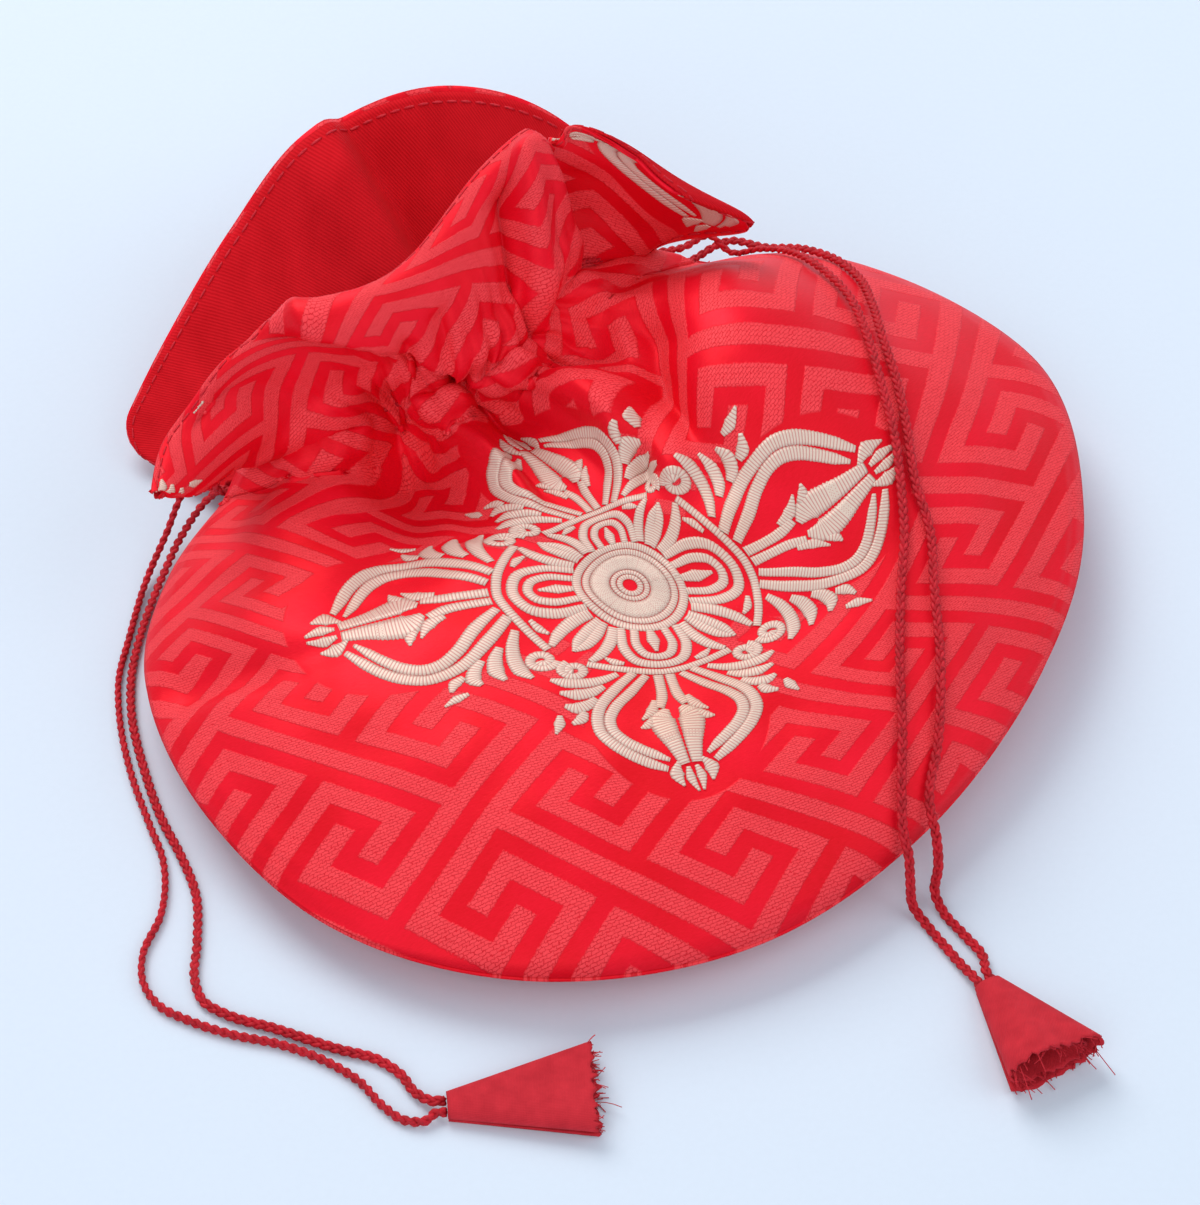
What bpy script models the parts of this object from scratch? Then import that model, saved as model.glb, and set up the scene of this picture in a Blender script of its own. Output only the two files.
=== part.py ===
"""A drawstring mala pouch of red brocade, lying on its back with its mouth open at the upper left.

Every piece of cloth is laid out flat first, in cloth coordinates u (across) and v (towards the mouth)
with the origin at the middle of the round body. The body's outline, the casing line and the rim of each
flap are then placed as curves in space, and the cloth between them is lofted, puffed, pleated and folded.
"""

import math

import bmesh
import bpy
import numpy as np
from mathutils import Vector

MM = 0.001

# The cloth laid flat, in millimetres
BODY_HALF_WIDTH = 83.0
BODY_DROP = 70.0
NECK_HALF_WIDTH = 59.0
CASING_RISE = 57.0
FLAP_HEIGHT = 38.0
RIM_HALF_WIDTH = 69.0
RIM_CORNER = 7.0
BODY_RUN = 105.0

# Layers
BROCADE = 0.6
LINING = 0.4
LAYER_GAP = 0.45
RIM_INSET = 0.8

# Drawstring and its channel
CORD = 1.5
CORD_PLAY = 0.85
CHANNEL_HALF_HEIGHT = 5.2
CHANNEL_FADE = 3.4
CORD_SPACING = 3.8
CORD_SHARE = 0.6
CORD_DEPTH = 0.54
CHANNEL_MOUTH = 5.0
MOUTH_DIP = 1.5
MOUTH_RUN = 1.8
NEAR_RUN = 0.8
LEFT_TURN_WAY = (-0.85, -0.3, 0.0)
RIGHT_TURN_WAY = (-0.15, 0.97, 0.1)

# Where the seam lies, one station for each 22.5 degrees from the left neck end round the bottom
SEAM_FIRST_ANGLE = -225.0
SEAM_LAST_ANGLE = 45.0
BOTTOM_ANGLE = -90.0
SEAM_STEP = 22.5
SEAM_STATIONS = (
    (-58.0, 27.5, 11.5),
    (-69.5, 8.0, 7.5),
    (-71.5, -15.0, 6.5),
    (-59.5, -42.0, 7.0),
    (-38.0, -64.0, 7.0),
    (-8.0, -73.0, 7.5),
    (24.0, -66.0, 7.5),
    (50.0, -45.0, 9.0),
    (69.5, -15.0, 12.0),
    (78.5, 17.0, 13.0),
    (73.5, 53.5, 13.0),
    (42.0, 75.0, 16.0),
    (7.0, 64.5, 22.0),
)
SLIT_OPENING = 4.5
SLIT_ANGLE = 9.0

# The casing line of each panel from left to right: share of the cloth's width, then its place
FRONT_CASING = (
    (0.18, -44.0, 26.0, 22.0),
    (0.36, -33.0, 27.5, 28.0),
    (0.50, -24.0, 28.5, 31.5),
    (0.62, -15.5, 31.0, 34.5),
    (0.72, -9.5, 35.0, 38.0),
    (0.79, -7.0, 41.0, 40.5),
    (0.85, -3.5, 48.5, 37.5),
    (0.92, 1.8, 56.5, 32.0),
)
BACK_CASING = (
    (0.17, -46.5, 33.5, 7.0),
    (0.34, -38.0, 42.5, 7.0),
    (0.52, -27.0, 50.0, 8.0),
    (0.70, -14.0, 55.5, 10.5),
    (0.86, -3.0, 58.5, 14.0),
)

# The rim of each flap, given the same way
FRONT_RIM = (
    (0.00, -70.5, 0.0, 35.0),
    (0.14, -68.0, 14.0, 37.0),
    (0.28, -57.0, 25.5, 43.0),
    (0.40, -45.0, 28.5, 49.0),
    (0.52, -31.5, 34.0, 55.0),
    (0.65, -18.5, 48.0, 60.0),
    (0.75, -10.8, 55.0, 62.5),
    (0.82, -4.5, 57.0, 64.5),
    (0.90, 7.0, 53.0, 58.5),
    (1.00, 25.0, 46.5, 53.0),
)
BACK_RIM = (
    (0.00, -82.5, 43.5, 4.5),
    (0.18, -74.5, 57.7, 14.0),
    (0.34, -63.8, 74.8, 24.0),
    (0.48, -52.0, 87.0, 34.0),
    (0.58, -39.8, 94.0, 38.0),
    (0.72, -22.6, 97.0, 38.0),
    (0.87, -4.0, 93.0, 31.0),
    (1.00, 10.0, 86.0, 14.0),
)
FRONT_FLAP_BOW = 7.0
BACK_FLAP_BOW = -3.0

# Puff of the body above and below its seam
EDGE_REACH = 20.0
PUFF = 9.0
BACK_EDGE_REACH = 15.0
REST_HEIGHT = BROCADE + LAYER_GAP / 2

# Soft swellings of the front, each as u, v, radius and height
SWELLINGS = (
    (50.0, 34.0, 32.0, 14.0),
    (24.0, 46.0, 20.0, 7.0),
    (-40.0, -20.0, 30.0, 3.0),
)

# Where the front's cloth lies off the even spread between its edges, each as u, v, radius and shift
DRIFTS = (
    (38.0, 6.0, 46.0, 0.8, -22.5),
    (-8.0, 28.0, 28.0, 11.0, -10.5),
    (-50.0, 0.0, 28.0, -3.5, -6.0),
    (0.0, -44.0, 22.0, -1.5, -2.0),
)

FOLD_EDGE = 6.0

# Folds of the front, each as start u, v, end u, v, half width and height
FOLDS = (
    (-22.0, 52.0, -40.0, 8.0, 9.0, -8.0),
    (-36.0, 54.0, -58.0, 12.0, 9.0, 4.0),
    (-78.0, -4.0, -52.0, -6.0, 4.5, -3.0),
    (14.0, 54.0, 20.0, 22.0, 5.2, 4.6),
    (27.0, 54.0, 27.0, 16.0, 6.4, -5.0),
    (3.0, 54.0, 6.0, 30.0, 5.0, -3.4),
    (-8.0, 54.0, -8.0, 30.0, 5.0, 3.4),
)

# Puckers along the front casing
PUCKERS = 10
PUCKER_HEIGHT = 1.25
PUCKER_MIDDLE = 0.50
PUCKER_SPREAD = 0.27
PUCKER_REACH_BODY = 16.0
PUCKER_REACH_FLAP = 9.0

# Free ends of the drawstrings, chosen by hand. Where a strand lies on the front panel its points are
# cloth coordinates, and elsewhere they are places in space.
LEFT_STRAND_A = (
    (-64.8, 28.5, 12.4),
    (-68.8, 27.2, 8.6),
    (-71.9, 20.9, 4.3),
    (-74.5, 13.7, 1.8),
    (-76.6, 0.2, 0.8),
    (-77.4, -8.5, 0.8),
    (-76.6, -15.9, 0.8),
    (-73.7, -27.8, 0.8),
    (-69.7, -38.7, 0.8),
    (-67.1, -45.5, 0.8),
    (-66.5, -56.0, 0.8),
    (-68.6, -63.9, 0.8),
    (-68.2, -68.4, 0.8),
    (-65.4, -73.0, 0.8),
    (-60.5, -75.9, 0.8),
    (-54.6, -78.2, 0.8),
    (-46.4, -80.3, 0.8),
    (-39.6, -83.4, 0.8),
    (-34.9, -86.8, 0.8),
    (-31.4, -91.0, 0.8),
    (-28.0, -93.6, 0.9),
    (-24.8, -93.6, 1.1),
)
LEFT_STRAND_B = (
    (-65.2, 28.0, 5.6),
    (-69.4, 21.2, 3.6),
    (-72.1, 13.5, 1.9),
    (-74.6, 2.5, 0.8),
    (-75.4, -8.0, 0.8),
    (-74.6, -16.0, 0.8),
    (-71.7, -27.0, 0.8),
    (-67.7, -38.0, 0.8),
    (-64.4, -44.7, 0.8),
    (-61.5, -52.3, 0.8),
    (-60.6, -61.6, 0.8),
    (-60.4, -68.4, 0.8),
    (-58.9, -72.2, 0.8),
    (-55.4, -74.6, 0.8),
    (-48.0, -77.2, 0.8),
    (-38.5, -80.9, 0.8),
    (-32.4, -82.9, 0.8),
    (-28.9, -85.6, 0.8),
    (-26.9, -88.6, 0.9),
)
RIGHT_STRAND_A_START = (
    (14.2, 69.4, 24.6),
    (18.6, 71.2, 25.8),
)
RIGHT_STRAND_A_CLOTH = (
    (65.6, 44.5),
    (65.4, 38.6),
    (65.0, 33.0),
    (64.2, 27.5),
    (62.9, 20.5),
    (59.3, 12.5),
    (56.0, 6.6),
    (52.8, 0.5),
    (48.8, -7.2),
    (45.6, -13.9),
    (41.0, -22.5),
    (35.2, -36.5),
    (30.3, -51.2),
    (27.2, -59.7),
    (25.6, -65.0),
)
RIGHT_STRAND_A_END = (
    (46.4, -51.6, 9.9),
    (46.8, -54.0, 6.0),
    (47.5, -55.3, 1.6),
    (49.0, -57.4, 0.8),
    (52.0, -62.3, 0.8),
    (54.6, -66.4, 0.9),
)
RIGHT_STRAND_B_START = (
    (16.6, 72.0, 20.0),
    (21.8, 74.4, 21.6),
)
RIGHT_STRAND_B_CLOTH = (
    (68.8, 39.5),
    (69.4, 33.5),
    (69.5, 28.0),
    (68.4, 22.0),
    (65.4, 17.2),
    (61.6, 12.4),
    (58.1, 5.8),
    (54.6, -0.3),
    (51.1, -8.0),
    (49.0, -16.3),
    (45.5, -26.6),
    (41.2, -40.9),
    (35.6, -54.1),
    (31.4, -62.0),
)
RIGHT_STRAND_B_END = (
    (50.8, -48.6, 10.1),
    (51.2, -51.0, 6.2),
    (50.9, -52.8, 1.8),
    (51.9, -55.2, 0.8),
    (54.8, -59.8, 0.8),
    (57.4, -64.0, 0.9),
)

# Folded cloth cones on the ends: where the tip and the middle of the open end lie on the floor
LEFT_CONE = ((-22.0, -91.4), (-0.4, -89.4))
RIGHT_CONE = ((57.6, -69.6), (65.8, -86.0))
CONE_TIP_HALF = (2.3, 1.35)
CONE_END_HALF_WIDTH = 9.2
LEFT_CONE_END_HALF_HEIGHT = 2.6
RIGHT_CONE_END_HALF_HEIGHT = 4.6
CONE_CLOTH = 0.5
CONE_TUCK = 0.45
CORD_GAP = 0.3
STRAND_BESIDE = 0.7 * CORD

# How finely the cloth is divided
FRONT_COLUMNS = 36
BACK_COLUMNS = 22
BODY_ROWS = 10
FLAP_ROWS = 4


def hermite(knots, values, where):
    """A smooth curve through the values at the knots, read at each place asked for."""
    knots = np.asarray(knots, float)
    values = np.asarray(values, float)
    slopes = np.gradient(values, knots, axis=0)
    where = np.clip(np.asarray(where, float), knots[0], knots[-1])
    left = np.clip(np.searchsorted(knots, where, side="right") - 1, 0, len(knots) - 2)
    step = knots[left + 1] - knots[left]
    t = ((where - knots[left]) / step)[..., None]
    step = step[..., None]
    start = (1 + 2 * t) * (1 - t) ** 2 * values[left] + t * (1 - t) ** 2 * step * slopes[left]
    end = t * t * (3 - 2 * t) * values[left + 1] + t * t * (t - 1) * step * slopes[left + 1]
    return start + end


def smooth(x):
    x = np.clip(x, 0.0, 1.0)
    return x * x * (3 - 2 * x)


def outline_flat(angle):
    """The flat body's edge: an ellipse, deeper above its middle than below it."""
    angle = np.radians(angle)
    upper = CASING_RISE / math.sqrt(1 - (NECK_HALF_WIDTH / BODY_HALF_WIDTH) ** 2)
    rise = np.where(np.sin(angle) > 0, upper, BODY_DROP)
    return np.stack([BODY_HALF_WIDTH * np.cos(angle), rise * np.sin(angle)], axis=-1)


def neck_angle():
    return math.degrees(math.acos(NECK_HALF_WIDTH / BODY_HALF_WIDTH))


def seam_place(angle, side):
    """The seam in space. Near the neck it parts into a front and a back edge of the slit."""
    reach = (neck_angle() - BOTTOM_ANGLE) / (SEAM_LAST_ANGLE - BOTTOM_ANGLE)
    station = BOTTOM_ANGLE + (np.asarray(angle, float) - BOTTOM_ANGLE) / reach
    knots = SEAM_FIRST_ANGLE + SEAM_STEP * np.arange(len(SEAM_STATIONS))
    place = hermite(knots, SEAM_STATIONS, station)
    near_end = np.minimum(station - knots[0], knots[-1] - station)
    part = SLIT_OPENING * smooth(1 - near_end / SLIT_ANGLE) + LINING + LAYER_GAP
    place[..., 2] += side * part
    return place


def line_knots(line, side):
    """Knots of a casing line with its two ends on the seam."""
    ends = seam_place(np.array([-180.0 - neck_angle(), neck_angle()]), side)
    knots = [0.0] + [row[0] for row in line] + [1.0]
    values = [ends[0]] + [row[1:] for row in line] + [ends[1]]
    return knots, values


def patch(across, along, bottom, top, left, right):
    """The surface between four edges."""
    a = across[..., None]
    b = along[..., None]
    one = np.ones_like(across)
    zero = np.zeros_like(across)
    sides = (1 - a) * left(along) + a * right(along)
    ends = (1 - b) * bottom(across) + b * top(across)
    corners = (1 - b) * ((1 - a) * bottom(zero) + a * bottom(one))
    corners = corners + b * ((1 - a) * top(zero) + a * top(one))
    return sides + ends - corners


def bottom_angle(across):
    return -135.0 + 90.0 * across


def side_angle(along, sign):
    start = 45.0
    turn = start + neck_angle()
    angle = -start + turn * along
    return angle if sign > 0 else -180.0 - angle


def flat_body(across, along):
    return patch(
        across,
        along,
        lambda a: outline_flat(bottom_angle(a)),
        lambda a: np.stack([NECK_HALF_WIDTH * (2 * a - 1), np.full_like(a, CASING_RISE)], -1),
        lambda b: outline_flat(side_angle(b, -1)),
        lambda b: outline_flat(side_angle(b, 1)),
    )


def flap_reach(across):
    """How far up its flap the cloth goes, less where the rim's corners are rounded."""
    width = 2 * RIM_HALF_WIDTH
    inside = np.minimum(across, 1 - across) * width
    bite = np.clip(1 - inside / RIM_CORNER, 0.0, 1.0)
    return 1 - RIM_CORNER * (1 - np.sqrt(1 - 0.98 * bite * bite)) / FLAP_HEIGHT


def flat_place(across, along):
    """Cloth coordinates of a place in the panel: along runs 0 to 1 over the body and 1 to 2 up the flap."""
    body = flat_body(across, np.minimum(along, 1.0))
    rise = np.maximum(along - 1.0, 0.0) * flap_reach(across)
    half = NECK_HALF_WIDTH + (RIM_HALF_WIDTH - NECK_HALF_WIDTH) * rise
    flap = np.stack([half * (2 * across - 1), CASING_RISE + FLAP_HEIGHT * rise], -1)
    return np.where((along > 1.0)[..., None], flap, body)


def edge_share(flat, reach):
    """0 on the seam, rising to 1 well inside the body."""
    upper = CASING_RISE / math.sqrt(1 - (NECK_HALF_WIDTH / BODY_HALF_WIDTH) ** 2)
    rise = np.where(flat[..., 1] > 0, upper, BODY_DROP)
    radius = np.hypot(flat[..., 0] / BODY_HALF_WIDTH, flat[..., 1] / rise)
    inside = np.maximum(1 - radius, 0.0) * BODY_HALF_WIDTH
    return np.tanh(inside / reach)


def swelling(flat):
    height = np.full(flat.shape[:-1], PUFF)
    for u, v, radius, rise in SWELLINGS:
        away = ((flat[..., 0] - u) ** 2 + (flat[..., 1] - v) ** 2) / radius**2
        height = height + rise * np.exp(-away)
    return height


def drift(flat):
    shift = np.zeros(flat.shape[:-1] + (2,))
    for u, v, radius, east, north in DRIFTS:
        away = ((flat[..., 0] - u) ** 2 + (flat[..., 1] - v) ** 2) / radius**2
        shift = shift + np.exp(-away)[..., None] * np.array([east, north])
    return shift


def fold_height(flat):
    """Ridges and valleys that run out from the neck and in from the edge."""
    height = np.zeros(flat.shape[:-1])
    for u0, v0, u1, v1, half_width, rise in FOLDS:
        start = np.array([u0, v0])
        run = np.array([u1, v1]) - start
        share = ((flat - start) @ run) / (run @ run)
        nearest = start + np.clip(share, 0, 1)[..., None] * run
        away = np.linalg.norm(flat - nearest, axis=-1) / half_width
        fade = 1 - 0.55 * np.clip(share, 0, 1)
        height = height + rise * fade * np.exp(-away * away)
    return height


def pucker(across, flat):
    """Height of the puckers: the cloth stands up and down between the casing and the open folds."""
    wave = np.sin(2 * math.pi * PUCKERS * across)
    middle = np.exp(-(((across - PUCKER_MIDDLE) / PUCKER_SPREAD) ** 2))
    over = flat[..., 1] - CASING_RISE
    fade = np.where(over < 0, np.exp(over / PUCKER_REACH_BODY), np.exp(-over / PUCKER_REACH_FLAP))
    return PUCKER_HEIGHT * middle * fade, wave


def channel_share(flat):
    """1 on the casing line, falling to 0 above and below the drawstring channel."""
    away = np.abs(flat[..., 1] - CASING_RISE) - CHANNEL_HALF_HEIGHT
    return smooth(1 - away / CHANNEL_FADE)


def mouth_share(across):
    """1 along the channel, falling to 0 at its two mouths, where the drawstring slips to the inside."""
    return smooth(np.minimum(across, 1 - across) * 2 * NECK_HALF_WIDTH / CHANNEL_MOUTH)


def base_place(across, along, side):
    """The panel without its puckers and folds. side is 1 for the front and -1 for the back."""
    flat = flat_place(across, along)
    casing = line_knots(FRONT_CASING if side > 0 else BACK_CASING, side)
    rim = FRONT_RIM if side > 0 else BACK_RIM
    rim_knots = [row[0] for row in rim]
    rim_places = [row[1:] for row in rim]
    body_along = np.minimum(along, 1.0)
    body = patch(
        across,
        body_along,
        lambda a: seam_place(bottom_angle(a), side),
        lambda a: hermite(*casing, a),
        lambda b: seam_place(side_angle(b, -1), side),
        lambda b: seam_place(side_angle(b, 1), side),
    )
    if side > 0:
        inner = smooth((1.0 - body_along) / 0.30)
        body[..., 2] += (0.35 + 0.65 * inner) * inner**0.35 * swelling(flat) * edge_share(flat, EDGE_REACH)
        body[..., :2] += (inner * edge_share(flat, EDGE_REACH))[..., None] * drift(flat)
    else:
        share = edge_share(flat, BACK_EDGE_REACH) * smooth((1.0 - body_along) / 0.30)
        body[..., 2] += (REST_HEIGHT - body[..., 2]) * share
        settled = smooth((share - 0.80) / 0.15)
        body[..., 2] += (REST_HEIGHT - body[..., 2]) * settled
    rise = (np.maximum(along - 1.0, 0.0) * flap_reach(across))[..., None]
    foot = hermite(*casing, across)
    head = hermite(rim_knots, rim_places, across)
    flap = foot + (head - foot) * rise
    bow = FRONT_FLAP_BOW if side > 0 else BACK_FLAP_BOW
    flap[..., 2] += bow * 4 * rise[..., 0] * (1 - rise[..., 0])
    return np.where((along > 1.0)[..., None], flap, body), flat


def unit(vectors):
    return vectors / np.maximum(np.linalg.norm(vectors, axis=-1, keepdims=True), 1e-9)


def normals_of(place):
    """Unit normals of a grid of places, with left to right first, evened out over each one's neighbours."""
    normal = unit(np.cross(np.gradient(place, axis=0), np.gradient(place, axis=1)))
    for _ in range(2):
        for axis in (0, 1):
            padded = np.concatenate(
                [normal.take([0], axis), normal, normal.take([-1], axis)], axis=axis
            )
            count = normal.shape[axis]
            before = padded.take(range(0, count), axis)
            after = padded.take(range(2, count + 2), axis)
            normal = unit(before + 2 * normal + after)
    return normal


def cloth_grid(across, along, side, layer):
    """One face of a layer: layer is 1 for the brocade's inner face and -1 for the lining's outer face."""
    grid_across, grid_along = np.meshgrid(across, along, indexing="ij")
    place, flat = base_place(grid_across, grid_along, side)
    normal = normals_of(place) * side
    if side > 0:
        place = place + normal * (fold_height(flat) * edge_share(flat, FOLD_EDGE))[..., None]
        normal = normals_of(place) * side
        height, wave = pucker(grid_across, flat)
    else:
        height, wave = np.zeros(flat.shape[:-1]), 0.0
    room = channel_share(flat)
    mouth = mouth_share(grid_across)
    clear = CORD / 2 + CORD_PLAY - LAYER_GAP / 2
    if layer > 0:
        offset = LAYER_GAP / 2 + room * mouth * (clear + height) + height * wave
    else:
        dip = MOUTH_DIP * (1 - mouth)
        offset = -LAYER_GAP / 2 - room * (clear + height + dip) + height * wave * (1 - 2 * room)
    return place + normal * offset[..., None], flat


def stations(body_rows, flap_rows):
    """Rows from the bottom seam to the rim, closer together at the casing. The lining ends one row short."""
    edge = CHANNEL_HALF_HEIGHT + CHANNEL_FADE
    below = 1 - edge / BODY_RUN
    above = 1 + edge / FLAP_HEIGHT
    body = below * np.sin(np.linspace(0.0, 1.0, body_rows) * math.pi / 2) ** 0.9
    channel_low = 1 - CHANNEL_HALF_HEIGHT / BODY_RUN
    channel_high = 1 + CHANNEL_HALF_HEIGHT / FLAP_HEIGHT
    flap = np.linspace(above, 2.0 - RIM_INSET / FLAP_HEIGHT, flap_rows + 1)
    return np.concatenate([body, [channel_low, 1.0, channel_high], flap, [2.0]])


def material(name, colour, roughness):
    made = bpy.data.materials.new(name)
    made.use_nodes = True
    shader = made.node_tree.nodes["Principled BSDF"]
    shader.inputs["Base Color"].default_value = (*colour, 1.0)
    shader.inputs["Roughness"].default_value = roughness
    shader.inputs["Metallic"].default_value = 0.0
    made.diffuse_color = (*colour, 1.0)
    return made


def add_object(name, data, look):
    made = bpy.data.objects.new(name, data)
    bpy.context.scene.collection.objects.link(made)
    data.materials.append(look)
    return made


def sheet_object(name, places, outward, thickness, look):
    """A grid of places as a closed sheet: the places are one face, thickened along outward.

    Both layers of a panel are cut into triangles the same way, so that they lie parallel and never cross.
    """
    across, along = places.shape[:2]
    mesh = bmesh.new()
    verts = [[mesh.verts.new(Vector(place) * MM) for place in column] for column in places]
    for i in range(across - 1):
        for j in range(along - 1):
            low_left, low_right = verts[i][j], verts[i + 1][j]
            high_left, high_right = verts[i][j + 1], verts[i + 1][j + 1]
            for corners in ((low_left, low_right, high_right), (low_left, high_right, high_left)):
                face = mesh.faces.new(corners if outward > 0 else corners[::-1])
                face.smooth = True
    data = bpy.data.meshes.new(name)
    mesh.to_mesh(data)
    mesh.free()
    made = add_object(name, data, look)
    solid = made.modifiers.new("Thickness", "SOLIDIFY")
    solid.thickness = thickness * MM
    solid.offset = 1.0
    solid.use_rim = True
    solid.use_even_offset = False
    return made


def panel(side, look_brocade, look_lining):
    name = "front" if side > 0 else "back"
    across = np.linspace(0.0, 1.0, (FRONT_COLUMNS if side > 0 else BACK_COLUMNS) + 1)
    rows = stations(BODY_ROWS, FLAP_ROWS)
    outer, _ = cloth_grid(across, rows, side, 1)
    inner, _ = cloth_grid(across, rows, side, -1)
    sheet_object(name + "_panel", outer, side, BROCADE, look_brocade)
    sheet_object(name + "_lining", inner[:, :-1], -side, LINING, look_lining)


def channel_line(side, beside):
    """Places from left to right along a channel, about midway between its two layers.

    beside is how far towards the rim the cord lies.
    """
    across = np.linspace(0.0, 1.0, (FRONT_COLUMNS if side > 0 else BACK_COLUMNS) + 1)
    rows = stations(BODY_ROWS, FLAP_ROWS)
    outer = cloth_grid(across, rows, side, 1)[0]
    inner = cloth_grid(across, rows, side, -1)[0]
    middle = outer + (inner - outer) * CORD_DEPTH
    line = BODY_ROWS + 1
    beyond = line + (1 if beside > 0 else -1)
    aside = middle[:, beyond] - middle[:, line]
    reach = np.minimum(abs(beside), CORD_SHARE * np.linalg.norm(aside, axis=-1, keepdims=True))
    return middle[:, line] + unit(aside) * reach


def mouth_end(line, reach):
    """A place beyond the first end of a channel, straight ahead."""
    return line[0] + unit(line[0] - line[1]) * reach


def turn(front, back, way, count=5):
    """Points of the loop in which a drawstring leaves one channel and enters the other."""
    start = mouth_end(front, MOUTH_RUN)
    end = mouth_end(back, MOUTH_RUN)
    out = unit(np.array(way)) * np.linalg.norm(start - end) / 2
    middle = (start + end) / 2
    angles = np.linspace(0.0, math.pi, count)
    return [middle + (start - middle) * math.cos(t) + out * math.sin(t) for t in angles]


def ring_route(sign):
    """A drawstring inside the casing: through the front channel, round the far end and back behind."""
    beside = -sign * CORD_SPACING / 2
    front = channel_line(1, beside)[::-sign]
    back = channel_line(-1, beside)[::-sign]
    far = turn(front[::-1], back[::-1], LEFT_TURN_WAY if sign > 0 else RIGHT_TURN_WAY)
    return [mouth_end(front, NEAR_RUN), *front, *far, *back[::-1], mouth_end(back, NEAR_RUN)]


def strand_start(sign, side):
    """Where a free strand begins, just past the end of the drawstring in the casing."""
    line = channel_line(side, -sign * CORD_SPACING / 2)[::-sign]
    first = NEAR_RUN + CORD_GAP
    return [mouth_end(line, first + CORD * share) for share in (0.0, 0.8, 1.6)]


def on_front(points, lift):
    """Places above the front panel at the given cloth coordinates."""
    across = np.linspace(0.0, 1.0, 121)
    along = np.linspace(0.0, 1.0, 121)
    grid_across, grid_along = np.meshgrid(across, along, indexing="ij")
    place, flat = base_place(grid_across, grid_along, 1)
    folds = fold_height(flat) * edge_share(flat, FOLD_EDGE)
    place = place + normals_of(place) * folds[..., None]
    normal = normals_of(place)
    found = []
    for u, v in points:
        away = (flat[..., 0] - u) ** 2 + (flat[..., 1] - v) ** 2
        nearest = np.argsort(away, axis=None)[:9]
        weight = 1 / (away.ravel()[nearest] + 0.05)
        weight /= weight.sum()
        spot = (place.reshape(-1, 3)[nearest] * weight[:, None]).sum(0)
        found.append(spot + lift * (normal.reshape(-1, 3)[nearest] * weight[:, None]).sum(0))
    return found


def even_points(route, spacing):
    """Evenly spaced points on a smooth curve through the route, with both its ends kept."""
    route = np.asarray(route, float)
    run = np.concatenate([[0.0], np.cumsum(np.linalg.norm(np.diff(route, axis=0), axis=1))])
    fine = hermite(run, route, np.linspace(0.0, run[-1], 1200))
    length = np.concatenate([[0.0], np.cumsum(np.linalg.norm(np.diff(fine, axis=0), axis=1))])
    count = max(2, round(length[-1] / spacing))
    wanted = np.linspace(0.0, length[-1], count + 1)
    return np.stack([np.interp(wanted, length, fine[:, axis]) for axis in range(3)], -1)


def cord_object(name, points, look):
    points = np.asarray(points)
    data = bpy.data.curves.new(name, "CURVE")
    data.dimensions = "3D"
    data.bevel_depth = CORD / 2 * MM
    data.bevel_resolution = 2
    data.use_fill_caps = True
    spline = data.splines.new("POLY")
    spline.points.add(len(points) - 1)
    for point, place in zip(spline.points, points):
        point.co = (*(place * MM), 1.0)
    spline.use_smooth = True
    return add_object(name, data, look)


def cone_tip(cone, beside):
    """Where a strand meets a cone's tip, a little to one side of the middle."""
    tip = np.array(cone[0])
    axis = np.array(cone[1]) - tip
    axis /= np.linalg.norm(axis)
    spot = tip - axis * CORD_GAP + np.array([-axis[1], axis[0]]) * beside
    before = spot - axis * 1.6
    height = CONE_TIP_HALF[1]
    return [(before[0], before[1], height), (spot[0], spot[1], height)]


def cone_section(share, half_height, inset):
    """One ring of the cone: a flattened loop of cloth with its upper side tucked in at one place."""
    width = CONE_TIP_HALF[0] + (CONE_END_HALF_WIDTH - CONE_TIP_HALF[0]) * share
    height = CONE_TIP_HALF[1] + (half_height - CONE_TIP_HALF[1]) * share
    ring = []
    for step in range(28):
        angle = 2 * math.pi * step / 28
        tuck = CONE_TUCK * share * math.exp(-(((angle - 0.35 * math.pi) / 0.35) ** 2))
        across = (width - inset) * math.cos(angle)
        up = (height - inset) * math.sin(angle) * (1 - tuck)
        ring.append((across, up + height))
    return ring


def cone_object(name, cone, half_height, look):
    """A cone rolled from a scrap of cloth: closed on the cords at its tip, open and hollow at its base."""
    tip = np.array(cone[0])
    axis = np.array(cone[1]) - tip
    length = float(np.linalg.norm(axis))
    axis /= length
    aside = np.array([-axis[1], axis[0]])
    mesh = bmesh.new()

    def add_ring(share, inset):
        middle = tip + axis * length * share
        places = []
        for across, up in cone_section(share, half_height, inset):
            spot = middle + aside * across
            places.append(mesh.verts.new(Vector((spot[0], spot[1], up)) * MM))
        return places

    outer = [add_ring(share, 0.0) for share in (0.0, 0.3, 0.65, 1.0)]
    inner = [add_ring(share, CONE_CLOTH) for share in (1.0, 0.65, 0.3, 0.06)]
    rings = outer + inner
    for low, high in zip(rings, rings[1:]):
        for i in range(len(low)):
            j = (i + 1) % len(low)
            mesh.faces.new((low[i], low[j], high[j], high[i])).smooth = True
    mesh.faces.new(rings[0][::-1])
    mesh.faces.new(rings[-1])
    bmesh.ops.recalc_face_normals(mesh, faces=mesh.faces)
    data = bpy.data.meshes.new(name)
    mesh.to_mesh(data)
    mesh.free()
    return add_object(name, data, look)


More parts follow.
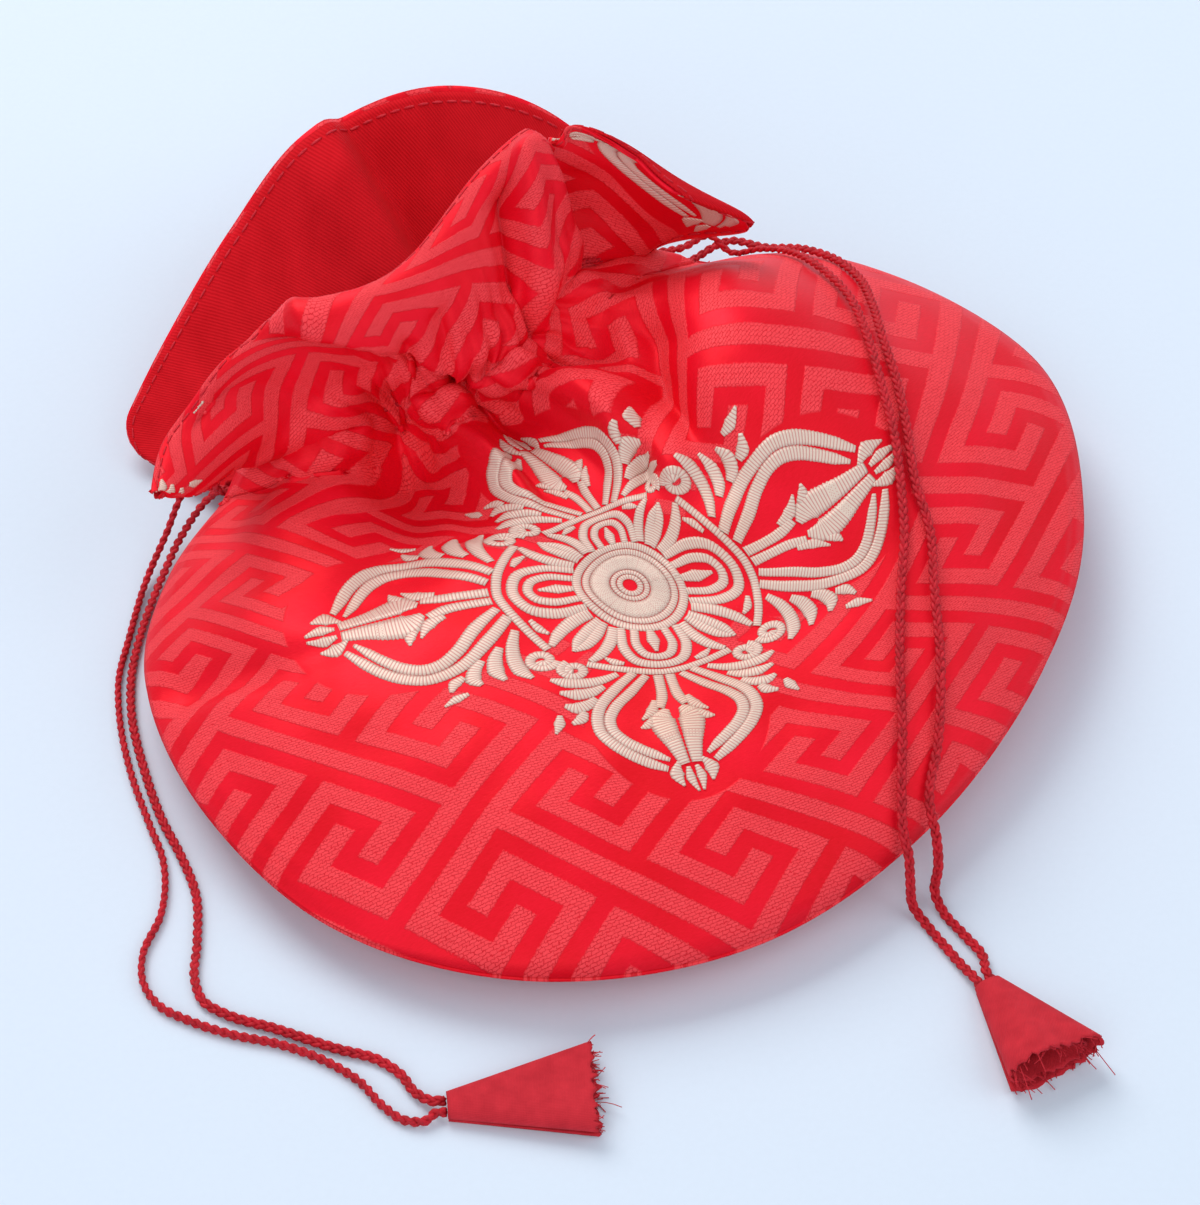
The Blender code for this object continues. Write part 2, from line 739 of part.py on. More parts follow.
def drawstrings(look_cord, look_cone):
    spacing = 2.6 * CORD
    lift = LAYER_GAP / 2 + BROCADE + CORD_GAP + CORD / 2
    left_a = strand_start(-1, 1) + list(LEFT_STRAND_A) + cone_tip(LEFT_CONE, -STRAND_BESIDE)
    left_b = strand_start(-1, -1) + list(LEFT_STRAND_B) + cone_tip(LEFT_CONE, STRAND_BESIDE)
    right_a = strand_start(1, 1) + list(RIGHT_STRAND_A_START) + on_front(RIGHT_STRAND_A_CLOTH, lift)
    right_a += list(RIGHT_STRAND_A_END) + cone_tip(RIGHT_CONE, -STRAND_BESIDE)
    right_b = strand_start(1, -1) + list(RIGHT_STRAND_B_START) + on_front(RIGHT_STRAND_B_CLOTH, lift)
    right_b += list(RIGHT_STRAND_B_END) + cone_tip(RIGHT_CONE, STRAND_BESIDE)
    cord_object("left_strand_front", even_points(left_a, spacing), look_cord)
    cord_object("left_strand_back", even_points(left_b, spacing), look_cord)
    cord_object("right_strand_front", even_points(right_a, spacing), look_cord)
    cord_object("right_strand_back", even_points(right_b, spacing), look_cord)
    cord_object("left_drawstring_in_casing", ring_route(-1), look_cord)
    cord_object("right_drawstring_in_casing", ring_route(1), look_cord)
    cone_object("left_cone", LEFT_CONE, LEFT_CONE_END_HALF_HEIGHT, look_cone)
    cone_object("right_cone", RIGHT_CONE, RIGHT_CONE_END_HALF_HEIGHT, look_cone)


def clear_scene():
    for old in list(bpy.data.objects):
        bpy.data.objects.remove(old, do_unlink=True)


def main():
    clear_scene()
    brocade = material("red brocade", (0.60, 0.012, 0.025), 0.42)
    lining = material("red twill", (0.42, 0.010, 0.018), 0.85)
    cord = material("red cord", (0.48, 0.008, 0.018), 0.7)
    cone = material("plain red cloth", (0.52, 0.016, 0.028), 0.9)
    panel(1, brocade, lining)
    panel(-1, brocade, lining)
    drawstrings(cord, cone)


main()
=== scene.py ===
import math

import bmesh
import bpy
import numpy as np
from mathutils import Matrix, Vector


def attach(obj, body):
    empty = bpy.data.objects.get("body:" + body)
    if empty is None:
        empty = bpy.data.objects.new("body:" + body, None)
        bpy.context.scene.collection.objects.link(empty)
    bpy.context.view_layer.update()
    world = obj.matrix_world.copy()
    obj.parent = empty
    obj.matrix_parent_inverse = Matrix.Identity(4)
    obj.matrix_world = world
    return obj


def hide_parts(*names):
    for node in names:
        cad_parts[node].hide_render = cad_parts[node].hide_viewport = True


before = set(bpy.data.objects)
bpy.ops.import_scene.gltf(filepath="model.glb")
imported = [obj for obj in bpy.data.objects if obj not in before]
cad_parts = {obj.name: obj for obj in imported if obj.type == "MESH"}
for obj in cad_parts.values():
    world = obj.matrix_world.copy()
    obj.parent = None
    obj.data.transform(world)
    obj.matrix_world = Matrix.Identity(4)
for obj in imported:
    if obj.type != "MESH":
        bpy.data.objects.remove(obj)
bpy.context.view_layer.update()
mm = 0.001

# camera: where the photograph was taken from, and how wide its lens sees (focal length in the photo's pixels)
shot = {
    "widthPixels": 1200,
    "focalPixels": 3489,
    "elevation": 47.0,
    "distance": 0.560,
    "targetHeight": 0.010,
    "filmWidth": 36.0,
}


def addObject(name, data):
    made = bpy.data.objects.new(name, data)
    bpy.context.scene.collection.objects.link(made)
    return made


def addCamera():
    elevation = math.radians(shot["elevation"])
    data = bpy.data.cameras.new("camera")
    data.sensor_fit = "HORIZONTAL"
    data.sensor_width = shot["filmWidth"]
    data.lens = shot["filmWidth"] * shot["focalPixels"] / shot["widthPixels"]
    camera = addObject("camera", data)
    back = shot["distance"] * math.cos(elevation)
    up = shot["distance"] * math.sin(elevation)
    camera.location = (0, -back, shot["targetHeight"] + up)
    camera.rotation_euler = (math.pi / 2 - elevation, 0, 0)
    bpy.context.scene.camera = camera


addCamera()
bpy.context.scene.view_settings.view_transform = "Standard"
print("camera placed")

# lamps: place, the point it aims at, side length, watts and colour
lamps = {
    "backWindow": ((-0.45, 0.85, 1.00), (0, 0, 0), 0.9, 13.2, (1.0, 0.98, 0.96)),
    "sideFill": ((1.1, -0.2, 0.9), (0, 0, 0), 1.2, 5.0, (0.96, 0.98, 1.0)),
    "frontFill": ((-0.35, -1.15, 0.85), (0, 0, 0.02), 1.4, 8.4, (1.0, 1.0, 1.0)),
}
skyLight = {"colour": (0.88, 0.92, 1.0), "strength": 0.47}


def addLamps():
    for name, (place, aim, size, watts, colour) in lamps.items():
        data = bpy.data.lights.new(name, "AREA")
        data.shape = "SQUARE"
        data.size = size
        data.energy = watts
        data.color = colour
        made = addObject(name, data)
        made.location = place
        way = Vector(aim) - Vector(place)
        made.rotation_euler = way.to_track_quat("-Z", "Y").to_euler()
    world = bpy.data.worlds.new("studio")
    world.use_nodes = True
    sky = world.node_tree.nodes["Background"]
    sky.inputs["Color"].default_value = (*skyLight["colour"], 1.0)
    sky.inputs["Strength"].default_value = skyLight["strength"]
    bpy.context.scene.world = world


addLamps()
print("lamps placed")


def rgba(colour):
    return (*colour, 1.0)


# a material and the nodes that it is made of
class lookNodes:
    def __init__(self, name, roughness, gloss=0.3):
        self.made = bpy.data.materials.new(name)
        self.made.use_nodes = True
        self.tree = self.made.node_tree
        self.shader = self.tree.nodes["Principled BSDF"]
        self.set("Roughness", roughness)
        self.set("Specular IOR Level", gloss)

    def feed(self, socket, value):
        if isinstance(value, bpy.types.NodeSocket):
            self.tree.links.new(value, socket)
        else:
            socket.default_value = value

    def set(self, name, value):
        self.feed(self.shader.inputs[name], value)

    def node(self, kind, inputs=None, **settings):
        node = self.tree.nodes.new("ShaderNode" + kind)
        for name, value in settings.items():
            setattr(node, name, value)
        for name, value in (inputs or {}).items():
            self.feed(node.inputs[name], value)
        return node.outputs

    def math(self, operation, first, second=0.0, third=0.0):
        return self.node("Math", {0: first, 1: second, 2: third}, operation=operation)[0]

    def times(self, first, second):
        return self.math("MULTIPLY", first, second)

    def wave(self, value):
        return self.math("MULTIPLY_ADD", self.math("SINE", value), 0.5, 0.5)

    def vector(self, operation, first, second=(0, 0, 0)):
        outputs = self.node("VectorMath", {0: first, 1: second}, operation=operation)
        return outputs["Value" if operation in ("LENGTH", "DOT_PRODUCT") else "Vector"]

    def split(self, value):
        return self.node("SeparateXYZ", {0: value})

    def range(self, value, low, high, lowOut=0.0, highOut=1.0):
        inputs = {"Value": value, "From Min": low, "From Max": high, "To Min": lowOut, "To Max": highOut}
        return self.node("MapRange", inputs)["Result"]

    def mix(self, share, first, second):
        return self.node("Mix", {0: share, 6: first, 7: second}, data_type="RGBA")[2]

    def colour(self, share, first, second):
        self.set("Base Color", self.mix(share, rgba(first), rgba(second)))

    def noise(self, where, scale, detail=2.0, output="Fac"):
        return self.node("TexNoise", {"Vector": where, "Scale": scale, "Detail": detail})[output]

    def where(self):
        return self.node("TexCoord")["Object"]

    def map(self, name):
        return self.node("UVMap", uv_map=name)["UV"]

    def bump(self, height, distance, strength):
        inputs = {"Height": height, "Distance": distance, "Strength": strength}
        self.set("Normal", self.node("Bump", inputs)["Normal"])


# the cloth laid flat, in millimetres: u runs across and v towards the mouth, from the middle of the body
cut = {
    "bodyHalfWidth": 83,
    "bodyDrop": 70,
    "neckHalfWidth": 59,
    "casingRise": 57,
    "flapHeight": 38,
    "rimHalfWidth": 69,
    "rimCorner": 7,
    "bodyRun": 105,
}
layers = {"brocade": 0.6, "lining": 0.4, "gap": 0.45, "rimInset": 0.8, "closing": 3.2}
channel = {
    "cord": 1.5,
    "play": 0.85,
    "halfHeight": 5.2,
    "fade": 3.4,
    "spacing": 3.8,
    "share": 0.6,
    "depth": 0.54,
    "mouth": 5,
    "mouthDip": 1.5,
    "mouthRun": 1.8,
    "nearRun": 0.8,
    "leftTurn": (-0.85, -0.3, 0),
    "rightTurn": (-0.15, 0.97, 0.1),
    "cordGap": 0.3,
}

# how the seam lies, one station each 22.5 degrees from the left end of the neck round the bottom
seam = {
    "firstAngle": -225,
    "lastAngle": 45,
    "bottomAngle": -90,
    "step": 22.5,
    "slitOpening": 4.5,
    "slitAngle": 9,
    "stations": (
        (-58, 27.5, 11.5), (-69.5, 8, 7.5), (-71.5, -15, 6.5), (-59.5, -42, 7), (-38, -64, 7),
        (-8, -73, 7.5), (24, -66, 7.5), (50, -45, 9), (69.5, -15, 12), (78.5, 17, 13), (73.5, 53.5, 13),
        (42, 75, 16), (7, 64.5, 22),
    ),
}

# casing lines and rims from left to right: share of the cloth's width, then its place
frontLay = {
    "casing": (
        (0.18, -44, 26, 22), (0.36, -33, 27.5, 28), (0.50, -24, 28.5, 31.5), (0.62, -15.5, 31, 34.5),
        (0.72, -9.5, 35, 38), (0.79, -7, 41, 40.5), (0.85, -3.5, 48.5, 37.5), (0.92, 1.8, 56.5, 32),
    ),
    "rim": (
        (0.00, -70.5, -2.5, 32.5), (0.14, -68, 12.5, 35.5), (0.28, -57, 25, 42), (0.40, -45, 27.5, 45.5),
        (0.52, -31.5, 32.5, 51.5), (0.65, -18.5, 48, 60), (0.75, -10.8, 55, 62.5), (0.82, -4.5, 57, 64.5),
        (0.90, 7, 53, 58.5), (1.00, 25, 46.5, 53),
    ),
    "bow": 7,
    "edgeReach": 20,
    "puff": 9,
}
backLay = {
    "casing": (
        (0.17, -46.5, 33.5, 7), (0.34, -38, 42.5, 7), (0.52, -27, 50, 8), (0.70, -14, 55.5, 10.5),
        (0.86, -3, 58.5, 14),
    ),
    "rim": (
        (0.00, -82.5, 43.5, 4.5), (0.18, -74.5, 57.7, 14), (0.34, -63.8, 74.8, 24), (0.48, -52, 87, 34),
        (0.58, -39.8, 94, 38), (0.72, -22.6, 97, 38), (0.87, -4, 93, 31), (1.00, 10, 86, 14),
    ),
    "bow": -3,
    "edgeReach": 15,
}
restHeight = layers["brocade"] + layers["gap"] / 2

# soft swellings as u, v, radius, height, and drifts as u, v, radius, east, north
frontForm = {
    "swellings": ((50, 34, 32, 14), (24, 46, 20, 7), (-40, -20, 30, 3)),
    "drifts": (
        (38, 6, 46, 0.8, -22.5), (-8, 28, 28, 11, -10.5), (-50, 0, 28, -3.5, -6), (0, -44, 22, -1.5, -2),
    ),
    "foldEdge": 6,
}

# folds of the front, each as start u, v, end u, v, half width and height
folds = (
    (-22, 52, -40, 8, 9, -8),
    (-36, 54, -58, 12, 9, 4),
    (-78, -4, -52, -6, 4.5, -3),
    (14, 54, 20, 22, 5.2, 4.6),
    (27, 54, 27, 16, 6.4, -5),
    (3, 54, 6, 30, 5, -3.4),
    (-8, 54, -8, 30, 5, 3.4),
)
puckers = {"count": 10, "height": 1.25, "middle": 0.50, "spread": 0.27, "down": 16, "up": 9, "share": 0.6}

# finer creases that only the dressed cloth shows, given as the folds are
creases = (
    (-80, -7, -56, -9.5, 1.6, -1.3),
    (-80, -1, -58, -3, 2, 0.9),
    (-12, 53, -20, 26, 2.4, -1.3),
    (-2, 54, -3, 38, 1.8, 1.2),
    (9, 55, 13, 34, 2, -1.4),
    (21, 55, 24, 30, 2.2, 1.3),
    (33, 55, 36, 34, 2.4, -1.2),
    (-28, 54, -40, 34, 2.6, -1.2),
    (-44, 54, -56, 36, 3, 0.9),
)
fineFolds = {"count": 15, "height": 1.35, "middle": 0.52, "spread": 0.24, "down": 10, "up": 9}
crinkle = {"share": 0.012, "turns": 31, "lean": 0.002, "run": 4, "sharpness": 0.8}

# deep folds at the neck, given as the folds are; some run from the body up into the flap
neckFolds = (
    (22, 82, 17, 46, 3.6, -5),
    (30, 86, 27, 50, 3.6, 2.6),
    (8, 56, 19, 20, 2.6, 2.6),
    (18, 56, 26, 24, 2.6, -3),
    (-16, 56, -24, 22, 2.6, -2.6),
    (-6, 70, -12, 44, 2.4, -2.2),
    (2, 72, 0, 40, 2.2, -2.4),
    (44, 72, 42, 40, 4, -2.2),
    (-44, 86, -34, 58, 6, -2.5),
    (-26, 50, -60, 14, 8, -4),
)
# folds where one side stands over the other, as start u, v, end u, v, rise to the left of that way,
# near and far width, and how much softer the first half is
frontSteps = (
    (-34, 97, 4, 55, 5.2, 1.8, 16, 14),
    (28.4, 114.4, 41, 57, -5.5, 2.2, 14, 0),
)
bodySteps = ((37, 48, 8, 26, -6, 4.8, 12, 0), (-2, 55, -12, 28, -3.4, 2.6, 10, 0))
backSteps = ((-3.4, 114.8, 14, 48, 13, 5, 22, 0),)
backFolds = ((0, 88, 8, 58, 7, -4),)
# bows of the flap's side edges, as share across where it begins and ends, how far up it lies and the shift
cornerBows = ((0.76, 1, 1.3, (8.5, -1.5, -5)), (0.24, 0, 1, (0.5, -5.5, -3.5)))
cornerTuck = {"from": 0.86, "above": 0.60, "shift": (-9, 0.5, 0.5)}
topstitch = {"seamInset": 2.5, "rimInset": 1.8, "groove": 0.20, "width": 0.5, "roll": 0.16}

# where the weave lies off the even spread of the cloth, so that the ornament sits as it does on the bag
weaveShift = {"share": 0.38, "reach": 26, "fadeFrom": 14, "fadeRun": 20}

fineGrid = {"frontColumns": 216, "backColumns": 120, "bodyRows": 96, "channelRows": 22, "flapRows": 44}
plainGrid = {"frontColumns": 36, "backColumns": 22, "bodyRows": 10, "flapRows": 4}


def hermite(knots, values, where):
    knots = np.asarray(knots, float)
    values = np.asarray(values, float)
    slopes = np.gradient(values, knots, axis=0)
    where = np.clip(np.asarray(where, float), knots[0], knots[-1])
    left = np.clip(np.searchsorted(knots, where, side="right") - 1, 0, len(knots) - 2)
    step = knots[left + 1] - knots[left]
    t = ((where - knots[left]) / step)[..., None]
    step = step[..., None]
    start = (1 + 2 * t) * (1 - t) ** 2 * values[left] + t * (1 - t) ** 2 * step * slopes[left]
    end = t * t * (3 - 2 * t) * values[left + 1] + t * t * (t - 1) * step * slopes[left + 1]
    return start + end


def smooth(x):
    x = np.clip(x, 0.0, 1.0)
    return x * x * (3 - 2 * x)


def unit(vectors):
    return vectors / np.maximum(np.linalg.norm(vectors, axis=-1, keepdims=True), 1e-9)


def runOf(points):
    return np.concatenate([[0.0], np.cumsum(np.linalg.norm(np.diff(points, axis=0), axis=1))])


def upperRise():
    return cut["casingRise"] / math.sqrt(1 - (cut["neckHalfWidth"] / cut["bodyHalfWidth"]) ** 2)


def outlineFlat(angle):
    angle = np.radians(angle)
    rise = np.where(np.sin(angle) > 0, upperRise(), cut["bodyDrop"])
    return np.stack([cut["bodyHalfWidth"] * np.cos(angle), rise * np.sin(angle)], axis=-1)


def neckAngle():
    return math.degrees(math.acos(cut["neckHalfWidth"] / cut["bodyHalfWidth"]))


def seamPlace(angle, side):
    reach = (neckAngle() - seam["bottomAngle"]) / (seam["lastAngle"] - seam["bottomAngle"])
    station = seam["bottomAngle"] + (np.asarray(angle, float) - seam["bottomAngle"]) / reach
    knots = seam["firstAngle"] + seam["step"] * np.arange(len(seam["stations"]))
    place = hermite(knots, seam["stations"], station)
    nearEnd = np.minimum(station - knots[0], knots[-1] - station)
    part = seam["slitOpening"] * smooth(1 - nearEnd / seam["slitAngle"]) + layers["lining"] + layers["gap"]
    place[..., 2] += side * part
    return place


def lineKnots(line, side):
    ends = seamPlace(np.array([-180.0 - neckAngle(), neckAngle()]), side)
    knots = [0.0] + [row[0] for row in line] + [1.0]
    values = [ends[0]] + [row[1:] for row in line] + [ends[1]]
    return knots, values


def patch(across, along, bottom, top, left, right):
    a = across[..., None]
    b = along[..., None]
    one = np.ones_like(across)
    zero = np.zeros_like(across)
    sides = (1 - a) * left(along) + a * right(along)
    ends = (1 - b) * bottom(across) + b * top(across)
    corners = (1 - b) * ((1 - a) * bottom(zero) + a * bottom(one))
    corners = corners + b * ((1 - a) * top(zero) + a * top(one))
    return sides + ends - corners


def bottomAngle(across):
    return -135.0 + 90.0 * across


def sideAngle(along, sign):
    angle = -45.0 + (45.0 + neckAngle()) * along
    return angle if sign > 0 else -180.0 - angle


def flatBody(across, along):
    return patch(
        across,
        along,
        lambda a: outlineFlat(bottomAngle(a)),
        lambda a: np.stack([cut["neckHalfWidth"] * (2 * a - 1), np.full_like(a, cut["casingRise"])], -1),
        lambda b: outlineFlat(sideAngle(b, -1)),
        lambda b: outlineFlat(sideAngle(b, 1)),
    )


def flapReach(across):
    inside = np.minimum(across, 1 - across) * 2 * cut["rimHalfWidth"]
    bite = np.clip(1 - inside / cut["rimCorner"], 0.0, 1.0)
    return 1 - cut["rimCorner"] * (1 - np.sqrt(1 - 0.98 * bite * bite)) / cut["flapHeight"]


def flapHalf(rise):
    return cut["neckHalfWidth"] + (cut["rimHalfWidth"] - cut["neckHalfWidth"]) * rise


def flatPlace(across, along):
    body = flatBody(across, np.minimum(along, 1.0))
    rise = np.maximum(along - 1.0, 0.0) * flapReach(across)
    half = flapHalf(rise)
    flap = np.stack([half * (2 * across - 1), cut["casingRise"] + cut["flapHeight"] * rise], -1)
    return np.where((along > 1.0)[..., None], flap, body)


def insideSeam(flat):
    rise = np.where(flat[..., 1] > 0, upperRise(), cut["bodyDrop"])
    radius = np.hypot(flat[..., 0] / cut["bodyHalfWidth"], flat[..., 1] / rise)
    return np.maximum(1 - radius, 0.0) * cut["bodyHalfWidth"]


def edgeShare(flat, reach):
    return np.tanh(insideSeam(flat) / reach)


def bumpsOf(flat, rows):
    total = np.zeros(flat.shape[:-1] + (len(rows[0]) - 3,))
    for u, v, radius, *rise in rows:
        away = ((flat[..., 0] - u) ** 2 + (flat[..., 1] - v) ** 2) / radius**2
        total = total + np.exp(-away)[..., None] * np.array(rise)
    return total


def alongRow(flat, u0, v0, u1, v1):
    start = np.array([u0, v0])
    run = np.array([u1, v1]) - start
    return start, run, ((flat - start) @ run) / (run @ run)


def foldHeight(flat, rows):
    height = np.zeros(flat.shape[:-1])
    for *ends, halfWidth, rise in rows:
        start, run, share = alongRow(flat, *ends)
        share = np.clip(share, 0, 1)
        away = np.linalg.norm(flat - start - share[..., None] * run, axis=-1) / halfWidth
        height = height + rise * (1 - 0.55 * share) * np.exp(-away * away)
    return height


def stepHeight(flat, rows):
    height = np.zeros(flat.shape[:-1])
    for *line, rise, near, far, soft in rows:
        start, run, share = alongRow(flat, *line)
        aside = ((flat - start) @ np.array([-run[1], run[0]])) / np.linalg.norm(run)
        ends = smooth((share + 0.05) / 0.3) * smooth((1.15 - share) / 0.3)
        wide = near * (1 + soft * np.clip(0.5 - share, 0.0, 0.5))
        height = height + rise * ends * smooth(aside / wide) * np.exp(-((aside / far) ** 2))
    return height


def pucker(across, flat, how):
    wave = np.sin(2 * math.pi * how["count"] * across)
    middle = np.exp(-(((across - how["middle"]) / how["spread"]) ** 2))
    over = flat[..., 1] - cut["casingRise"]
    fade = np.where(over < 0, np.exp(over / how["down"]), np.exp(-over / how["up"]))
    return how["height"] * middle * fade, wave


def channelShare(flat):
    away = np.abs(flat[..., 1] - cut["casingRise"]) - channel["halfHeight"]
    return smooth(1 - away / channel["fade"])


def channelClear():
    return channel["cord"] / 2 + channel["play"] - layers["gap"] / 2


def mouthShare(across):
    return smooth(np.minimum(across, 1 - across) * 2 * cut["neckHalfWidth"] / channel["mouth"])


def basePlace(across, along, side):
    flat = flatPlace(across, along)
    lay = frontLay if side > 0 else backLay
    casing = lineKnots(lay["casing"], side)
    bodyAlong = np.minimum(along, 1.0)
    body = patch(
        across,
        bodyAlong,
        lambda a: seamPlace(bottomAngle(a), side),
        lambda a: hermite(*casing, a),
        lambda b: seamPlace(sideAngle(b, -1), side),
        lambda b: seamPlace(sideAngle(b, 1), side),
    )
    inner = smooth((1.0 - bodyAlong) / 0.30)
    if side > 0:
        share = edgeShare(flat, lay["edgeReach"])
        swelling = lay["puff"] + bumpsOf(flat, frontForm["swellings"])[..., 0]
        body[..., 2] += (0.35 + 0.65 * inner) * inner**0.35 * swelling * share
        body[..., :2] += (inner * share)[..., None] * bumpsOf(flat, frontForm["drifts"])
    else:
        share = edgeShare(flat, lay["edgeReach"]) * inner
        body[..., 2] += (restHeight - body[..., 2]) * share
        body[..., 2] += (restHeight - body[..., 2]) * smooth((share - 0.80) / 0.15)
    rise = (np.maximum(along - 1.0, 0.0) * flapReach(across))[..., None]
    foot = hermite(*casing, across)
    head = hermite([row[0] for row in lay["rim"]], [row[1:] for row in lay["rim"]], across)
    flap = foot + (head - foot) * rise
    flap[..., 2] += lay["bow"] * 4 * rise[..., 0] * (1 - rise[..., 0])
    return np.where((along > 1.0)[..., None], flap, body), flat


def normalsOf(place, rounds=2):
    normal = unit(np.cross(np.gradient(place, axis=0), np.gradient(place, axis=1)))
    for _ in range(rounds):
        for axis in (0, 1):
            ends = [normal.take([0], axis), normal, normal.take([-1], axis)]
            padded = np.concatenate(ends, axis=axis)
            count = normal.shape[axis]
            before = padded.take(range(0, count), axis)
            after = padded.take(range(2, count + 2), axis)
            normal = unit(before + 2 * normal + after)
    return normal


def foldedPlace(across, along, side):
    across, along = np.meshgrid(across, along, indexing="ij")
    place, flat = basePlace(across, along, side)
    normal = normalsOf(place) * side
    if side > 0:
        height = foldHeight(flat, folds) * edgeShare(flat, frontForm["foldEdge"])
        place = place + normal * height[..., None]
        normal = normalsOf(place)
    return across, place, flat, normal


def plainLayer(across, along, side, layer):
    gridAcross, place, flat, normal = foldedPlace(across, along, side)
    height, wave = pucker(gridAcross, flat, puckers) if side > 0 else (np.zeros(flat.shape[:-1]), 0.0)
    room = channelShare(flat)
    mouth = mouthShare(gridAcross)
    clear = channelClear()
    if layer > 0:
        offset = layers["gap"] / 2 + room * mouth * (clear + height) + height * wave
    else:
        dip = channel["mouthDip"] * (1 - mouth)
        offset = -layers["gap"] / 2 - room * (clear + height + dip) + height * wave * (1 - 2 * room)
    return place + normal * offset[..., None]


def bodyStations(last, rows):
    return last * np.sin(np.linspace(0.0, 1.0, rows) * math.pi / 2) ** 0.9


def channelEnds(away):
    return 1 - away / cut["bodyRun"], 1 + away / cut["flapHeight"]


def plainStations():
    start, end = channelEnds(channel["halfHeight"] + channel["fade"])
    low, high = channelEnds(channel["halfHeight"])
    last = 2.0 - layers["rimInset"] / cut["flapHeight"]
    flap = np.linspace(end, last, plainGrid["flapRows"] + 1)
    return np.concatenate([bodyStations(start, plainGrid["bodyRows"]), [low, 1.0, high], flap, [2.0]])


def channelLine(side, beside):
    across = np.linspace(0.0, 1.0, plainGrid["frontColumns" if side > 0 else "backColumns"] + 1)
    outer = plainLayer(across, plainStations(), side, 1)
    inner = plainLayer(across, plainStations(), side, -1)
    middle = outer + (inner - outer) * channel["depth"]
    line = plainGrid["bodyRows"] + 1
    aside = middle[:, line + (1 if beside > 0 else -1)] - middle[:, line]
    reach = np.minimum(abs(beside), channel["share"] * np.linalg.norm(aside, axis=-1, keepdims=True))
    return middle[:, line] + unit(aside) * reach


def mouthEnd(line, reach):
    return line[0] + unit(line[0] - line[1]) * reach


def turnPoints(front, back, way, count=5):
    start = mouthEnd(front, channel["mouthRun"])
    end = mouthEnd(back, channel["mouthRun"])
    out = unit(np.array(way)) * np.linalg.norm(start - end) / 2
    middle = (start + end) / 2
    angles = np.linspace(0.0, math.pi, count)
    return [middle + (start - middle) * math.cos(t) + out * math.sin(t) for t in angles]


def ringRoute(sign):
    beside = -sign * channel["spacing"] / 2
    front = channelLine(1, beside)[::-sign]
    back = channelLine(-1, beside)[::-sign]
    far = turnPoints(front[::-1], back[::-1], channel["leftTurn" if sign > 0 else "rightTurn"])
    first, last = (mouthEnd(line, channel["nearRun"]) for line in (front, back))
    return [first, *front, *far, *back[::-1], last]


def strandStart(sign, side):
    line = channelLine(side, -sign * channel["spacing"] / 2)[::-sign]
    first = channel["nearRun"] + channel["cordGap"]
    return [mouthEnd(line, first + channel["cord"] * share) for share in (0.0, 0.8, 1.6)]


def onFront(points, lift):
    spread = np.linspace(0.0, 1.0, 121)
    _, place, flat, normal = foldedPlace(spread, spread, 1)
    found = []
    for u, v in points:
        away = (flat[..., 0] - u) ** 2 + (flat[..., 1] - v) ** 2
        nearest = np.argsort(away, axis=None)[:9]
        weight = 1 / (away.ravel()[nearest] + 0.05)
        weight /= weight.sum()
        spot = (place.reshape(-1, 3)[nearest] * weight[:, None]).sum(0)
        found.append(spot + lift * (normal.reshape(-1, 3)[nearest] * weight[:, None]).sum(0))
    return found


def evenPoints(route, spacing):
    route = np.asarray(route, float)
    run = runOf(route)
    fine = hermite(run, route, np.linspace(0.0, run[-1], 1200))
    length = runOf(fine)
    wanted = np.linspace(0.0, length[-1], max(2, round(length[-1] / spacing)) + 1)
    return np.stack([np.interp(wanted, length, fine[:, axis]) for axis in range(3)], -1)


